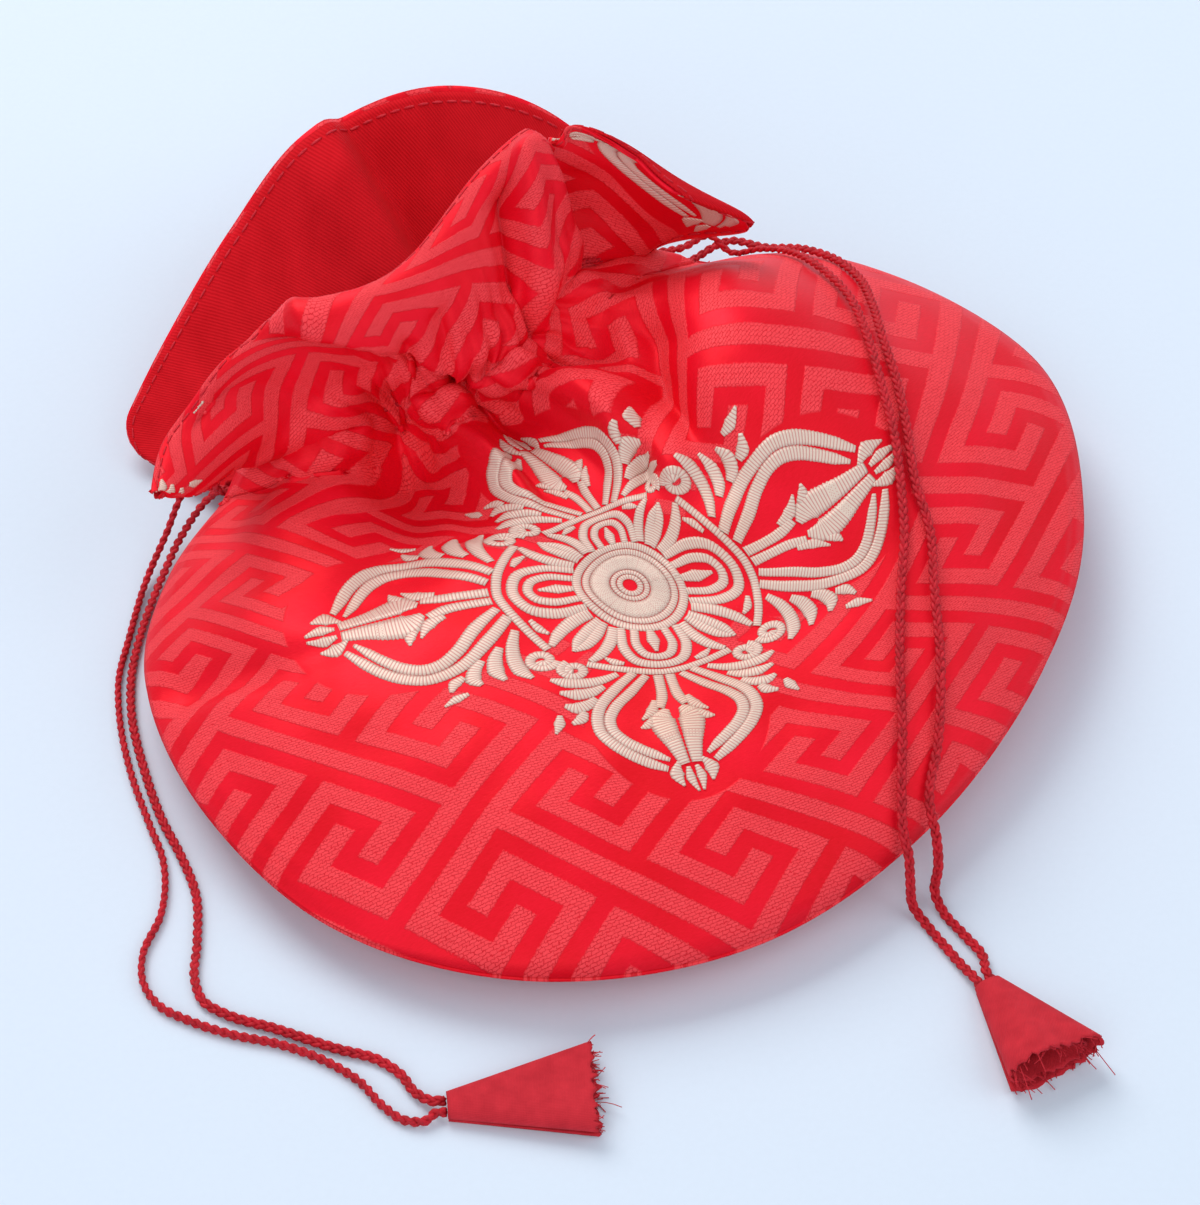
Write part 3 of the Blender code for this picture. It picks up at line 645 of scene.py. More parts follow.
# free ends of the drawstrings, as places in space; the "Cloth" rows are cloth coordinates on the front,
# and a place without a height lies on the surface
strands = {
    "lying": 0.8,
    "leftFront": (
        (-64.8, 28.5, 12.4), (-68.8, 27.2, 8.6), (-71.9, 20.9, 4.3), (-74.5, 13.7, 1.8), (-76.6, 0.2),
        (-77.4, -8.5), (-76.6, -15.9), (-73.7, -27.8), (-69.7, -38.7), (-67.1, -45.5), (-66.5, -56),
        (-68.6, -63.9), (-68.2, -68.4), (-65.4, -73), (-60.5, -75.9), (-54.6, -78.2), (-46.4, -80.3),
        (-39.6, -83.4), (-34.9, -86.8), (-31.4, -91), (-28, -93.6, 0.9), (-24.8, -93.6, 1.1),
    ),
    "leftBack": (
        (-65.2, 28, 5.6), (-69.4, 21.2, 3.6), (-72.1, 13.5, 1.9), (-74.6, 2.5), (-75.4, -8), (-74.6, -16),
        (-71.7, -27), (-67.7, -38), (-64.4, -44.7), (-61.5, -52.3), (-60.6, -61.6), (-60.4, -68.4),
        (-58.9, -72.2), (-55.4, -74.6), (-48, -77.2), (-38.5, -80.9), (-32.4, -82.9), (-28.9, -85.6),
        (-26.9, -88.6, 0.9),
    ),
    "rightFrontStart": ((14.2, 69.4, 24.6), (18.6, 71.2, 25.8)),
    "rightFrontCloth": (
        (65.6, 44.5), (65.4, 38.6), (65, 33), (64.2, 27.5), (62.9, 20.5), (59.3, 12.5), (56, 6.6),
        (52.8, 0.5), (48.8, -7.2), (45.6, -13.9), (41, -22.5), (35.2, -36.5), (30.3, -51.2), (27.2, -59.7),
        (25.6, -65),
    ),
    "rightFrontEnd": (
        (46.4, -51.6, 9.9), (46.8, -54, 6), (47.5, -55.3, 1.6), (49, -57.4), (52, -62.3),
        (54.6, -66.4, 0.9),
    ),
    "rightBackStart": ((16.6, 72, 20), (21.8, 74.4, 21.6)),
    "rightBackCloth": (
        (68.8, 39.5), (69.4, 33.5), (69.5, 28), (68.4, 22), (65.4, 17.2), (61.6, 12.4), (58.1, 5.8),
        (54.6, -0.3), (51.1, -8), (49, -16.3), (45.5, -26.6), (41.2, -40.9), (35.6, -54.1), (31.4, -62),
    ),
    "rightBackEnd": (
        (50.8, -48.6, 10.1), (51.2, -51, 6.2), (50.9, -52.8, 1.8), (51.9, -55.2), (54.8, -59.8),
        (57.4, -64, 0.9),
    ),
}
cones = {
    "left": {"tip": (-22, -91.4), "end": (-0.4, -89.4), "halfHeight": 2.6},
    "right": {"tip": (57.6, -69.6), "end": (65.8, -86), "halfHeight": 4.6},
    "tipHalf": (2.3, 1.35),
    "endHalfWidth": 9.2,
    "strandBeside": 1.05,
    "lastRun": 1.6,
}


def coneAxis(cone):
    tip = np.array(cone["tip"])
    axis = np.array(cone["end"]) - tip
    length = np.linalg.norm(axis)
    return tip, axis / length, length


def coneTip(cone, beside):
    tip, axis, _ = coneAxis(cone)
    spot = tip - axis * channel["cordGap"] + np.array([-axis[1], axis[0]]) * beside
    return [(*(spot - axis * back), cones["tipHalf"][1]) for back in (cones["lastRun"], 0.0)]


def strandRoute(side, sign, layer):
    lift = layers["gap"] / 2 + layers["brocade"] + channel["cordGap"] + channel["cord"] / 2
    name = side + ("Front" if layer > 0 else "Back")
    if sign > 0:
        spots = [*strands[name + "Start"], *onFront(strands[name + "Cloth"], lift), *strands[name + "End"]]
    else:
        spots = strands[name]
    route = strandStart(sign, layer) + [(*spot, strands["lying"])[:3] for spot in spots]
    return route + coneTip(cones[side], -layer * cones["strandBeside"])


# braided cord: three plies that weave over each other
braid = {"reach": 0.47, "lift": 0.24, "plyRadius": 0.36, "pitch": 4.6, "step": 0.42, "sides": 6}


def framesOf(points):
    way = unit(np.gradient(points, axis=0))
    aside = np.zeros_like(points)
    aside[0] = unit(np.cross(way[0], (0.1, 0.2, 1.0)))
    for k in range(1, len(points)):
        carried = aside[k - 1] - way[k] * (aside[k - 1] @ way[k])
        aside[k] = unit(carried)
    return aside, np.cross(way, aside)


def gridVerts(bm, columns, rows):
    for vert in bmesh.ops.create_grid(bm, x_segments=columns, y_segments=rows, size=0.5)["verts"]:
        yield vert, round((vert.co.x + 0.5) * columns), round((vert.co.y + 0.5) * rows)


def addTube(bm, points, radius, sides):
    aside, over = framesOf(points)
    verts = []
    for vert, column, row in gridVerts(bm, sides, len(points) - 1):
        turn = 2 * math.pi * column / sides
        way = aside[row] * math.cos(turn) + over[row] * math.sin(turn)
        vert.co = Vector(points[row] + way * radius) * mm
        verts.append(vert)
    bmesh.ops.remove_doubles(bm, verts=verts, dist=1e-6)


def closeTubes(bm):
    rims = [edge for edge in bm.edges if edge.is_boundary]
    bmesh.ops.holes_fill(bm, edges=rims, sides=0)
    bmesh.ops.recalc_face_normals(bm, faces=bm.faces)


def meshObject(name, bm, look):
    data = bpy.data.meshes.new(name)
    bm.to_mesh(data)
    bm.free()
    data.materials.append(look)
    return addObject(name, data)


def finishPiece(name, bm, look):
    for face in bm.faces:
        face.smooth = True
    made = meshObject(name, bm, look)
    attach(made, "root")
    return made


def thicken(made, name, thickness):
    solid = made.modifiers.new(name, "SOLIDIFY")
    solid.thickness = thickness * mm
    solid.offset = -1.0


def braidPiece(name, route, look):
    line = evenPoints(route, braid["step"])
    aside, over = framesOf(line)
    run = np.arange(len(line)) * braid["step"]
    bm = bmesh.new()
    for ply in range(3):
        phase = 2 * math.pi * (run / braid["pitch"] + ply / 3)
        place = line + aside * (braid["reach"] * np.sin(phase))[:, None]
        place = place + over * (braid["lift"] * np.sin(2 * phase))[:, None]
        addTube(bm, place, braid["plyRadius"], braid["sides"])
    closeTubes(bm)
    return finishPiece(name, bm, look), line


cordColour = {"thread": (0.60, 0.008, 0.022), "deep": (0.34, 0.003, 0.010), "fibre": 2600.0, "ply": 700.0}


def cordThread():
    look = lookNodes("braided cord thread", 0.62)
    where = look.where()
    fibre = look.noise(where, cordColour["fibre"], 3.0)
    ply = look.noise(where, cordColour["ply"], 1.0)
    share = look.range(look.math("MULTIPLY_ADD", fibre, 0.6, look.times(ply, 0.4)), 0.35, 0.6)
    look.colour(share, cordColour["deep"], cordColour["thread"])
    look.bump(fibre, 0.00012, 0.7)
    return look.made


cordLook = cordThread()
cordPieces = []
for name, node, side, sign, layer in (
    ("leftFrontStrand", "left_strand_front", "left", -1, 1),
    ("leftBackStrand", "left_strand_back", "left", -1, -1),
    ("rightFrontStrand", "right_strand_front", "right", 1, 1),
    ("rightBackStrand", "right_strand_back", "right", 1, -1),
    ("leftDrawstring", "left_drawstring_in_casing", "left", -1, 0),
    ("rightDrawstring", "right_drawstring_in_casing", "right", 1, 0),
):
    route = strandRoute(side, sign, layer) if layer else ringRoute(sign)
    piece, line = braidPiece(name, route, cordLook)
    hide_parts(node)
    if layer:
        cordPieces.append((piece, side, line))
print("cords braided")


# dressed cloth: the same lay as the solids, divided finely and with its small folds
# small waves of the cloth, as turns across and along, start and height
wrinkles = (
    (0.31, 0.17, 0.4, 0.16),
    (-0.13, 0.36, 2.1, 0.14),
    (0.52, -0.29, 4, 0.07),
    (0.11, 0.61, 1.2, 0.06),
)


def fineStations():
    low, high = channelEnds(channel["halfHeight"] + channel["fade"])
    half = fineGrid["channelRows"] // 2
    below = np.linspace(low, 1.0, half + 1)[1:]
    above = np.linspace(1.0, high, half + 1)[1:]
    flap = np.linspace(high, 2.0, fineGrid["flapRows"] + 1)[1:]
    return np.concatenate([bodyStations(low, fineGrid["bodyRows"] + 1), below, above, flap])


def edgeDistance(across, along, flat):
    side = np.minimum(across, 1 - across) * 2 * (cut["neckHalfWidth"] + cut["rimHalfWidth"]) / 2
    top = (2 - along) * cut["flapHeight"] * flapReach(across)
    return np.where(along > 1.0, np.minimum(side, top), insideSeam(flat))


def weaveOf(flat):
    u, v = flat[..., 0], flat[..., 1]
    share = weaveShift["share"] * (1 - smooth((u - weaveShift["fadeFrom"]) / weaveShift["fadeRun"]))
    shifted = v - share * v * np.exp(-((v / weaveShift["reach"]) ** 4))
    return np.stack([u, shifted], -1)


def dressedCloth(side):
    spread = np.linspace(0.0, 1.0, fineGrid["frontColumns" if side > 0 else "backColumns"] + 1)
    gridAcross, gridAlong = np.meshgrid(spread, fineStations(), indexing="ij")
    place, flat = basePlace(gridAcross, gridAlong, side)
    body = smooth((1.02 - gridAlong) / 0.02)
    together = 1 - smooth(insideSeam(flat) / layers["closing"])
    place[..., 2] -= side * (layers["lining"] + layers["gap"]) * together * body
    normal = normalsOf(place, 8) * side
    height, wave, fine, fineWave = (np.zeros(flat.shape[:-1]) for _ in range(4))
    if side > 0:
        climb = np.maximum(gridAlong - 1.0, 0.0)
        for first, last, power, shift in cornerBows:
            bow = smooth((gridAcross - first) / (last - first)) * np.sin(math.pi * climb**power)
            place = place + bow[..., None] * np.array(shift)
        tuck = smooth((gridAcross - cornerTuck["from"]) / (1 - cornerTuck["from"]))
        tuck = tuck * smooth((climb - cornerTuck["above"]) / (1 - cornerTuck["above"]))
        place = place + tuck[..., None] * np.array(cornerTuck["shift"])
        rise = foldHeight(flat, folds + creases + neckFolds) + stepHeight(flat, bodySteps)
        edge = np.where(gridAlong > 1.0, 1.0, edgeShare(flat, frontForm["foldEdge"]))
        steps = stepHeight(flat, frontSteps) * smooth(climb / 0.15)
        place = place + normal * (rise * edge + steps)[..., None]
        normal = normalsOf(place, 12) * side
        height, wave = pucker(gridAcross, flat, puckers)
        bent = gridAcross + crinkle["share"] * np.sin(crinkle["turns"] * gridAcross)
        bent = bent + crinkle["lean"] * np.sin(flat[..., 1] / crinkle["run"])
        fine, fineWave = pucker(bent, flat, fineFolds)
        fineWave = 2 * np.abs(fineWave) ** crinkle["sharpness"] - 1
    else:
        hollow = stepHeight(flat, backSteps) + foldHeight(flat, backFolds)
        place = place + normal * (hollow * smooth((gridAlong - 1.0) / 0.3))[..., None]
        normal = normalsOf(place, 8) * side
    small = sum(size * np.sin(a * flat[..., 0] + b * flat[..., 1] + c) for a, b, c, size in wrinkles)
    small = small * smooth(insideSeam(flat) / 12) * (side > 0)
    distance = edgeDistance(gridAcross, gridAlong, flat)
    shut = 1 - smooth(distance / layers["closing"])
    inset = np.where(gridAlong > 1.0, topstitch["rimInset"], topstitch["seamInset"])
    stitched = -topstitch["groove"] * np.exp(-(((distance - inset) / topstitch["width"]) ** 2))
    stitched = stitched + topstitch["roll"] * np.exp(-(((distance - inset / 2) / (inset / 2)) ** 2))
    room = channelShare(flat)
    mouth = mouthShare(gridAcross)
    clear = channelClear()
    gap = layers["gap"] / 2 * (1 - shut)
    both = fine * fineWave + small
    large = puckers["share"] * height * wave
    outer = gap + room * mouth * clear + large + both + stitched + layers["brocade"]
    dip = channel["mouthDip"] * (1 - mouth)
    inner = -gap - room * (clear + dip) + large * (1 - 2 * room) + both - layers["lining"]
    surfaces = []
    for offset, way in ((outer, side), (inner, -side)):
        spots = place + normal * offset[..., None]
        way = normalsOf(spots, 0) * way
        surfaces.append({"flat": flat, "weave": weaveOf(flat), "place": spots, "normal": way})
    return surfaces


def clothPiece(name, surface, thickness, outward, look, rows=None):
    place = surface["place"][:, :rows]
    lines = place.shape[1]
    bm = bmesh.new()
    for vert, i, j in gridVerts(bm, place.shape[0] - 1, lines - 1):
        vert.co = Vector(place[i, j]) * mm
        vert.index = i * lines + j
    for uv, key in (("cloth", "flat"), ("weave", "weave")):
        layer = bm.loops.layers.uv.new(uv)
        spots = surface[key][:, :rows].reshape(-1, 2)
        for face in bm.faces:
            for loop in face.loops:
                loop[layer].uv = spots[loop.vert.index]
    if outward < 0:
        bmesh.ops.reverse_faces(bm, faces=bm.faces)
    made = finishPiece(name, bm, look)
    thicken(made, "clothThickness", thickness)
    return made


# brocade: glossy satin ground with a matte key fret woven in it, which stands back from the ornament; the
# ground's colour is partly thread tone and partly painted sheen, laid in streaks and clouds
brocadeWeave = {
    "groundDeep": (0.74, 0.001, 0.009),
    # the brighter ground red is partly thread tone and partly painted sheen of the satin
    "groundToneAndPaintedSheen": (0.92, 0.005, 0.026),
    "bar": (0.96, 0.060, 0.076),
    "barShade": (0.76, 0.012, 0.024),
    "middle": (-19.3, -30.1),
    "stepAcross": (-4.73, 3.78),
    "stepAlong": (-4.39, -3.02),
    "repeat": 4,
    "barWidth": 0.54,
    "wander": 0.45,
    "brickWidth": 1.05,
    "rowHeight": 0.42,
    "relief": 0.00022,
}
# the fret is mirrored at 0 and at 4 steps both ways; each bar as x from, x to, y from, y to, in steps
fretBars = (
    (0.5, 0.5, 1, 4),
    (0.5, 2.5, 1, 1),
    (2.5, 2.5, 1, 2),
    (1.5, 1.5, 2, 3),
    (1.5, 3.5, 3, 3),
    (3.5, 3.5, 0, 3),
    (0, 3.5, 0, 0),
    (0.5, 4, 4, 4),
)
# plain ground round the ornament, as ellipses: middle u, v, half width, half height
ornamentFields = (
    (34, 0, 20.5, 15),
    (-34, 0, 20.5, 15),
    (0, 30, 15.5, 18),
    (0, -30, 15.5, 18),
    (0, 0, 18, 17),
)
ornamentPlaces = ((-1.4, -1.3), (60, 115), (-80, 112))


def lowest(look, values):
    least = values[0]
    for value in values[1:]:
        least = look.math("MINIMUM", least, value)
    return least


def fretMask(look, place):
    away = look.vector("SUBTRACT", place, (*brocadeWeave["middle"], 0))
    (a, b), (c, d) = brocadeWeave["stepAcross"], brocadeWeave["stepAlong"]
    turn = a * d - b * c
    folded = []
    for row in ((d / turn, -c / turn, 0), (-b / turn, a / turn, 0)):
        folded.append(look.math("PINGPONG", look.vector("DOT_PRODUCT", away, row), brocadeWeave["repeat"]))
    spot = look.node("CombineXYZ", {0: folded[0], 1: folded[1]})[0]
    half = brocadeWeave["barWidth"] / 2
    distances = []
    for x0, x1, y0, y1 in fretBars:
        apart = look.vector("SUBTRACT", spot, ((x0 + x1) / 2, (y0 + y1) / 2, 0))
        size = ((x1 - x0) / 2 + half, (y1 - y0) / 2 + half, 0)
        sides = look.split(look.vector("SUBTRACT", look.vector("ABSOLUTE", apart), size))
        distances.append(look.math("MAXIMUM", sides[0], sides[1]))
    return look.range(lowest(look, distances), 0.02, -0.02)


def offOrnament(look, woven):
    distances = []
    for eastward, northward in ornamentPlaces:
        for east, north, wide, tall in ornamentFields:
            shifted = look.vector("SUBTRACT", woven, (east + eastward, north + northward, 0))
            distances.append(look.vector("LENGTH", look.vector("DIVIDE", shifted, (wide, tall, 1))))
    return look.range(lowest(look, distances), 0.99, 1.01)


def brocadeLook():
    look = lookNodes("red brocade", 0.4, 0.18)
    place = look.map("cloth")
    wander = look.vector("SUBTRACT", look.noise(place, 2.6, 1.0, "Color"), (0.5, 0.5, 0.5))
    nudge = look.vector("MULTIPLY", wander, (brocadeWeave["wander"], brocadeWeave["wander"], 0))
    place = look.vector("ADD", place, nudge)
    bars = look.times(fretMask(look, place), offOrnament(look, look.map("weave")))
    brick = look.node(
        "TexBrick",
        {
            "Vector": place,
            "Color1": (1, 1, 1, 1),
            "Color2": (0.82, 0.82, 0.82, 1),
            "Mortar": (0, 0, 0, 1),
            "Scale": 1.0,
            "Mortar Size": 0.055,
            "Mortar Smooth": 0.6,
            "Brick Width": brocadeWeave["brickWidth"],
            "Row Height": brocadeWeave["rowHeight"],
        },
    )["Color"]
    dash = look.node("SeparateColor", {0: brick})[0]
    thread = look.noise(look.vector("MULTIPLY", place, (0.6, 5.0, 1)), 1.4)
    cloud = look.math("MULTIPLY_ADD", thread, 0.5, look.noise(place, 0.05))
    colours = {key: rgba(brocadeWeave[key]) for key in ("groundDeep", "groundToneAndPaintedSheen", "barShade", "bar")}
    # the ground mixes deep red with a brighter red along thread streaks and in clouds: partly thread tone,
    # partly painted sheen
    ground = look.mix(look.range(cloud, 0.5, 1.0), colours["groundDeep"], colours["groundToneAndPaintedSheen"])
    bar = look.mix(dash, colours["barShade"], colours["bar"])
    look.set("Base Color", look.mix(bars, ground, bar))
    look.set("Roughness", look.range(bars, 0.0, 1.0, 0.48, 0.62))
    look.set("Metallic", look.range(bars, 0.0, 1.0, 0.26, 0.05))
    raised = look.times(bars, look.math("MULTIPLY_ADD", dash, 0.5, 0.35))
    look.bump(look.math("ADD", raised, look.times(thread, 0.22)), brocadeWeave["relief"], 0.8)
    return look.made


# lining: matte red twill, with its fine ribs on the slant
twill = {"bright": (0.76, 0.010, 0.020), "dark": (0.52, 0.003, 0.008), "ribs": 0.62, "slant": 0.85}


def liningLook():
    look = lookNodes("red twill", 0.9, 0.12)
    place = look.map("cloth")
    split = look.split(place)
    across = look.math("MULTIPLY_ADD", split[1], twill["slant"], split[0])
    wobble = look.times(look.noise(place, 0.9), 1.6)
    ribs = look.wave(look.math("MULTIPLY_ADD", across, 2 * math.pi / twill["ribs"], wobble))
    cloud = look.range(look.noise(place, 0.12, 3.0), 0.3, 0.7, 0.0, 0.5)
    look.colour(look.math("ADD", look.times(ribs, 0.45), cloud), twill["dark"], twill["bright"])
    look.bump(ribs, 0.00012, 0.55)
    return look.made


brocade = brocadeLook()
lining = liningLook()
frontShell, frontLiner = dressedCloth(1)
backShell, backLiner = dressedCloth(-1)
for name, surface, thick, outward, look, rows, node, slot in (
    ("frontCloth", frontShell, layers["brocade"], 1, brocade, None, "front_panel", "brocade"),
    ("frontLining", frontLiner, layers["lining"], -1, lining, -1, "front_lining", "lining"),
    ("backCloth", backShell, layers["brocade"], -1, brocade, None, "back_panel", "brocade"),
    ("backLining", backLiner, layers["lining"], 1, lining, -1, "back_lining", "lining"),
):
    piece = clothPiece(name, surface, thick, outward, look, rows)
    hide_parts(node)
print("cloth laid")


# embroidery is built flat in cloth coordinates and then laid on the cloth
def addRibbon(bm, path, halfWidth, height, step=0.34, teeth=0.05):
    run = runOf(path)
    rows = max(3, round(run[-1] / step))
    where = np.linspace(0.0, run[-1], rows + 1)
    line = hermite(run, path, where)
    way = unit(np.gradient(line, axis=0))
    aside = np.stack([-way[:, 1], way[:, 0]], -1)
    half = np.interp(where, run, np.broadcast_to(halfWidth, run.shape))
    half = half * (1 + teeth * (-1.0) ** np.arange(rows + 1))
    stitch = bm.verts.layers.float_vector["stitch"]
    for vert, column, row in gridVerts(bm, 4, rows):
        across = column / 2 - 1
        spot = line[row] + aside[row] * across * half[row]
        vert[stitch] = (where[row], across, half[row])
        vert.co = (spot[0], spot[1], height * (1 - 0.9 * across**6))


def nearestCells(grid, wanted, stride=4, block=2000):
    coarse = grid[::stride, ::stride]
    rows = coarse.shape[1]
    coarse = coarse.reshape(-1, 2)
    start = np.zeros((len(wanted), 2))
    for k in range(0, len(wanted), block):
        best = ((wanted[k : k + block, None] - coarse[None]) ** 2).sum(-1).argmin(1)
        start[k : k + block] = np.stack([best // rows, best % rows], -1) * stride
    return start


def cellValue(grid, at):
    low = np.clip(np.floor(at).astype(int), 0, np.array(grid.shape[:2]) - 2)
    s, t = (at - low)[:, :1], (at - low)[:, 1:]
    i, j = low[:, 0], low[:, 1]
    a, b, c, d = grid[i, j], grid[i + 1, j], grid[i, j + 1], grid[i + 1, j + 1]
    value = a * (1 - s) * (1 - t) + b * s * (1 - t) + c * (1 - s) * t + d * s * t
    return value, (b - a) * (1 - t) + (d - c) * t, (c - a) * (1 - s) + (d - b) * s


def onCloth(surface, key, wanted):
    at = nearestCells(surface[key], wanted)
    most = np.array(surface[key].shape[:2]) - 1.0
    for _ in range(12):
        value, alongI, alongJ = cellValue(surface[key], at)
        miss = wanted - value
        det = alongI[:, 0] * alongJ[:, 1] - alongI[:, 1] * alongJ[:, 0]
        det = np.where(np.abs(det) < 1e-9, 1e-9, det)
        di = (miss[:, 0] * alongJ[:, 1] - miss[:, 1] * alongJ[:, 0]) / det
        dj = (miss[:, 1] * alongI[:, 0] - miss[:, 0] * alongI[:, 1]) / det
        at = np.clip(at + np.clip(np.stack([di, dj], -1), -6, 6), 0, most)
    return cellValue(surface["place"], at)[0], unit(cellValue(surface["normal"], at)[0])


def layOnCloth(bm, surface, key, sunk=0.05):
    bm.verts.ensure_lookup_table()
    flat = np.array([vert.co[:] for vert in bm.verts])
    place, normal = onCloth(surface, key, flat[:, :2])
    place = place + normal * (flat[:, 2:] - sunk)
    for vert, spot in zip(bm.verts, place):
        vert.co = Vector(spot) * mm


def embroideryMesh():
    bm = bmesh.new()
    bm.verts.layers.float_vector.new("stitch")
    return bm


def embroideryPiece(name, bm, thickness, look, flip=False):
    if flip:
        bmesh.ops.reverse_faces(bm, faces=bm.faces)
    made = finishPiece(name, bm, look)
    thicken(made, "threadThickness", thickness)


# the crossed thunderbolt: one arm in its own measures, x along the arm and y across, the sides drawn once;
# each stroke is its path and its half width
ornament = {
    "height": 0.11,
    "thickness": 0.12,
    "armLength": 46,
    "hub": 9.9,
    "seamRoom": 1,
    "rimRoom": 0.8,
}
arms = ((0, 51.6), (180, 48.6), (270, 44.2), (90, 42.5))
armMiddle = (
    (((16.8, -12), (18.8, -7.6), (20.3, -3.4), (20.8, 0), (20.3, 3.4), (18.8, 7.6), (16.8, 12)), 0.72),
    (
        ((9, -4.7), (14, -5.3), (17.4, -3.9), (18.7, 0), (17.4, 3.9), (14, 5.3), (9, 4.7)),
        (0.7, 0.9, 0.9, 0.85, 0.9, 0.9, 0.7),
    ),
    (
        ((9.5, -2.6), (13.8, -3), (15.9, -2), (16.6, 0), (15.9, 2), (13.8, 3), (9.5, 2.6)),
        (0.7, 0.8, 0.8, 0.75, 0.8, 0.8, 0.7),
    ),
    (((9.9, 0), (12.4, 0), (15.2, 0)), (0.6, 1.15, 0.2)),
)
armSides = (
    (
        (
            (20.6, 5), (24.6, 8.8), (29.3, 12.2), (32, 13), (34.7, 13), (37.4, 11.6),
            (39.8, 9.3), (41.8, 6.6), (43.4, 4),
        ),
        (0.8, 1.02, 1.02, 1.02, 1.02, 1.02, 0.95, 0.9, 0.5),
    ),
    (
        (
            (21.6, 3), (25.6, 6.2), (29.4, 9.6), (32, 10.9), (34.5, 10.9), (36.8, 9.6),
            (38.8, 7.4), (40.4, 5.2), (41.8, 3.2),
        ),
        (0.7, 0.98, 0.98, 0.98, 0.98, 0.98, 0.9, 0.8, 0.3),
    ),
    (((21.8, 1), (25, 1.1), (28.2, 1.4), (30.6, 2.2)), (0.85, 0.85, 0.95, 0.8)),
    (((28.6, 2.7), (31, 3.6), (32.8, 5.6)), (0.5, 1.05, 0.12)),
    (((31.2, 1.3), (33.4, 2.4), (36, 2.2), (39, 1.6), (43, 1)), (0.6, 2.3, 2, 1.45, 0.85)),
    (((33, 4), (34.2, 5), (34.6, 6.2)), (0.5, 0.85, 0.1)),
    (((42.4, 2), (44.6, 2.9), (47, 2.4)), (0.2, 1.25, 0.12)),
    (((43.6, 0.7), (45.6, 0.9), (48.4, 0.4)), (0.3, 0.8, 0.12)),
    (((20.4, 7.6), (21.6, 10.6), (22, 13.4), (21.6, 16.4), (20.4, 18.6)), (0.6, 1, 1.2, 1.3, 0.4)),
    (((23.4, 10.4), (24.6, 12.6), (25, 15.2), (24.2, 17.8)), (0.6, 1.15, 1.35, 0.4)),
    (((26.4, 12.2), (27.8, 13.8), (28.4, 15.8), (27.6, 17.6)), (0.6, 1.1, 1.3, 0.4)),
    (((29.6, 14.6), (31, 15.4), (32, 17.2)), (0.6, 1.1, 0.3)),
    (((29.8, 18.8), (31.6, 19.2), (33.6, 20.2)), (0.4, 1, 0.15)),
    (((8.8, 5.8), (12.2, 7.3), (14.8, 9.4), (16.2, 11.4)), (0.9, 1.1, 1, 0.5)),
    (((7.6, 7.2), (10, 9), (12.2, 11.2), (13.2, 13.2)), (0.8, 1.05, 0.9, 0.3)),
    (((17.8, 6), (17, 7.6), (15.8, 8.8)), (0.35, 0.75, 0.2)),
)
curl = {"middle": (18.2, 14.4), "outside": 2.3, "inside": 0.6, "turns": 1.4, "halfWidth": 0.8}
hubRings = ((9.25, 0.74), (7.72, 0.58), (5.35, 1.72), (3, 0.45), (1.85, 0.5))


def ringPath(radius):
    angles = np.linspace(0.0, 2.06 * math.pi, max(13, round(radius * 8)))
    return np.stack([radius * np.cos(angles), radius * np.sin(angles)], -1)


def curlPath():
    share = np.linspace(0.0, 1.0, 22)
    radius = curl["outside"] + (curl["inside"] - curl["outside"]) * share
    angle = math.pi * 0.9 - 2 * math.pi * curl["turns"] * share
    spot = np.stack([radius * np.cos(angle), radius * np.sin(angle)], -1)
    return spot + np.array(curl["middle"])


def addOrnament(bm, middle):
    hub = ornament["hub"]
    for radius, half in hubRings:
        addRibbon(bm, ringPath(radius) + np.array(middle), half, ornament["height"])
    for angle, length in arms:
        way = np.array([math.cos(math.radians(angle)), math.sin(math.radians(angle))])
        aside = np.array([-way[1], way[0]])
        stretch = (length - hub) / (ornament["armLength"] - hub)
        strokes = [(*stroke, 1) for stroke in armMiddle]
        for sign in (1, -1):
            strokes += [(*stroke, sign) for stroke in (*armSides, (curlPath(), curl["halfWidth"]))]
        for path, half, sign in strokes:
            along, across = np.asarray(path, float).T
            reach = along + np.maximum(along - hub, 0.0) * (stretch - 1)
            spots = np.outer(reach, way) + np.outer(across * sign, aside) + np.array(middle)
            addRibbon(bm, spots, half, ornament["height"])


def offTheCloth(u, v):
    if v < cut["casingRise"]:
        return insideSeam(np.array([u, v])) < topstitch["seamInset"] + ornament["seamRoom"]
    rise = (v - cut["casingRise"]) / cut["flapHeight"]
    half = flapHalf(rise)
    room = topstitch["rimInset"] + ornament["rimRoom"]
    return abs(u) > half - room or rise > 1 - room / cut["flapHeight"]


def trimToCloth(bm):
    gone = [vert for vert in bm.verts if offTheCloth(vert.co.x, vert.co.y)]
    bmesh.ops.delete(bm, geom=gone, context="VERTS")


goldThread = {
    "bright": (0.74, 0.60, 0.50),
    "shade": (0.52, 0.09, 0.09),
    # an orange tint laid in random clouds: a painted sheen of the metal thread
    "warmPaintedSheen": (0.72, 0.46, 0.32),
    "stitch": 0.52,
    "dottedWidths": (1.65, 1.8),
}


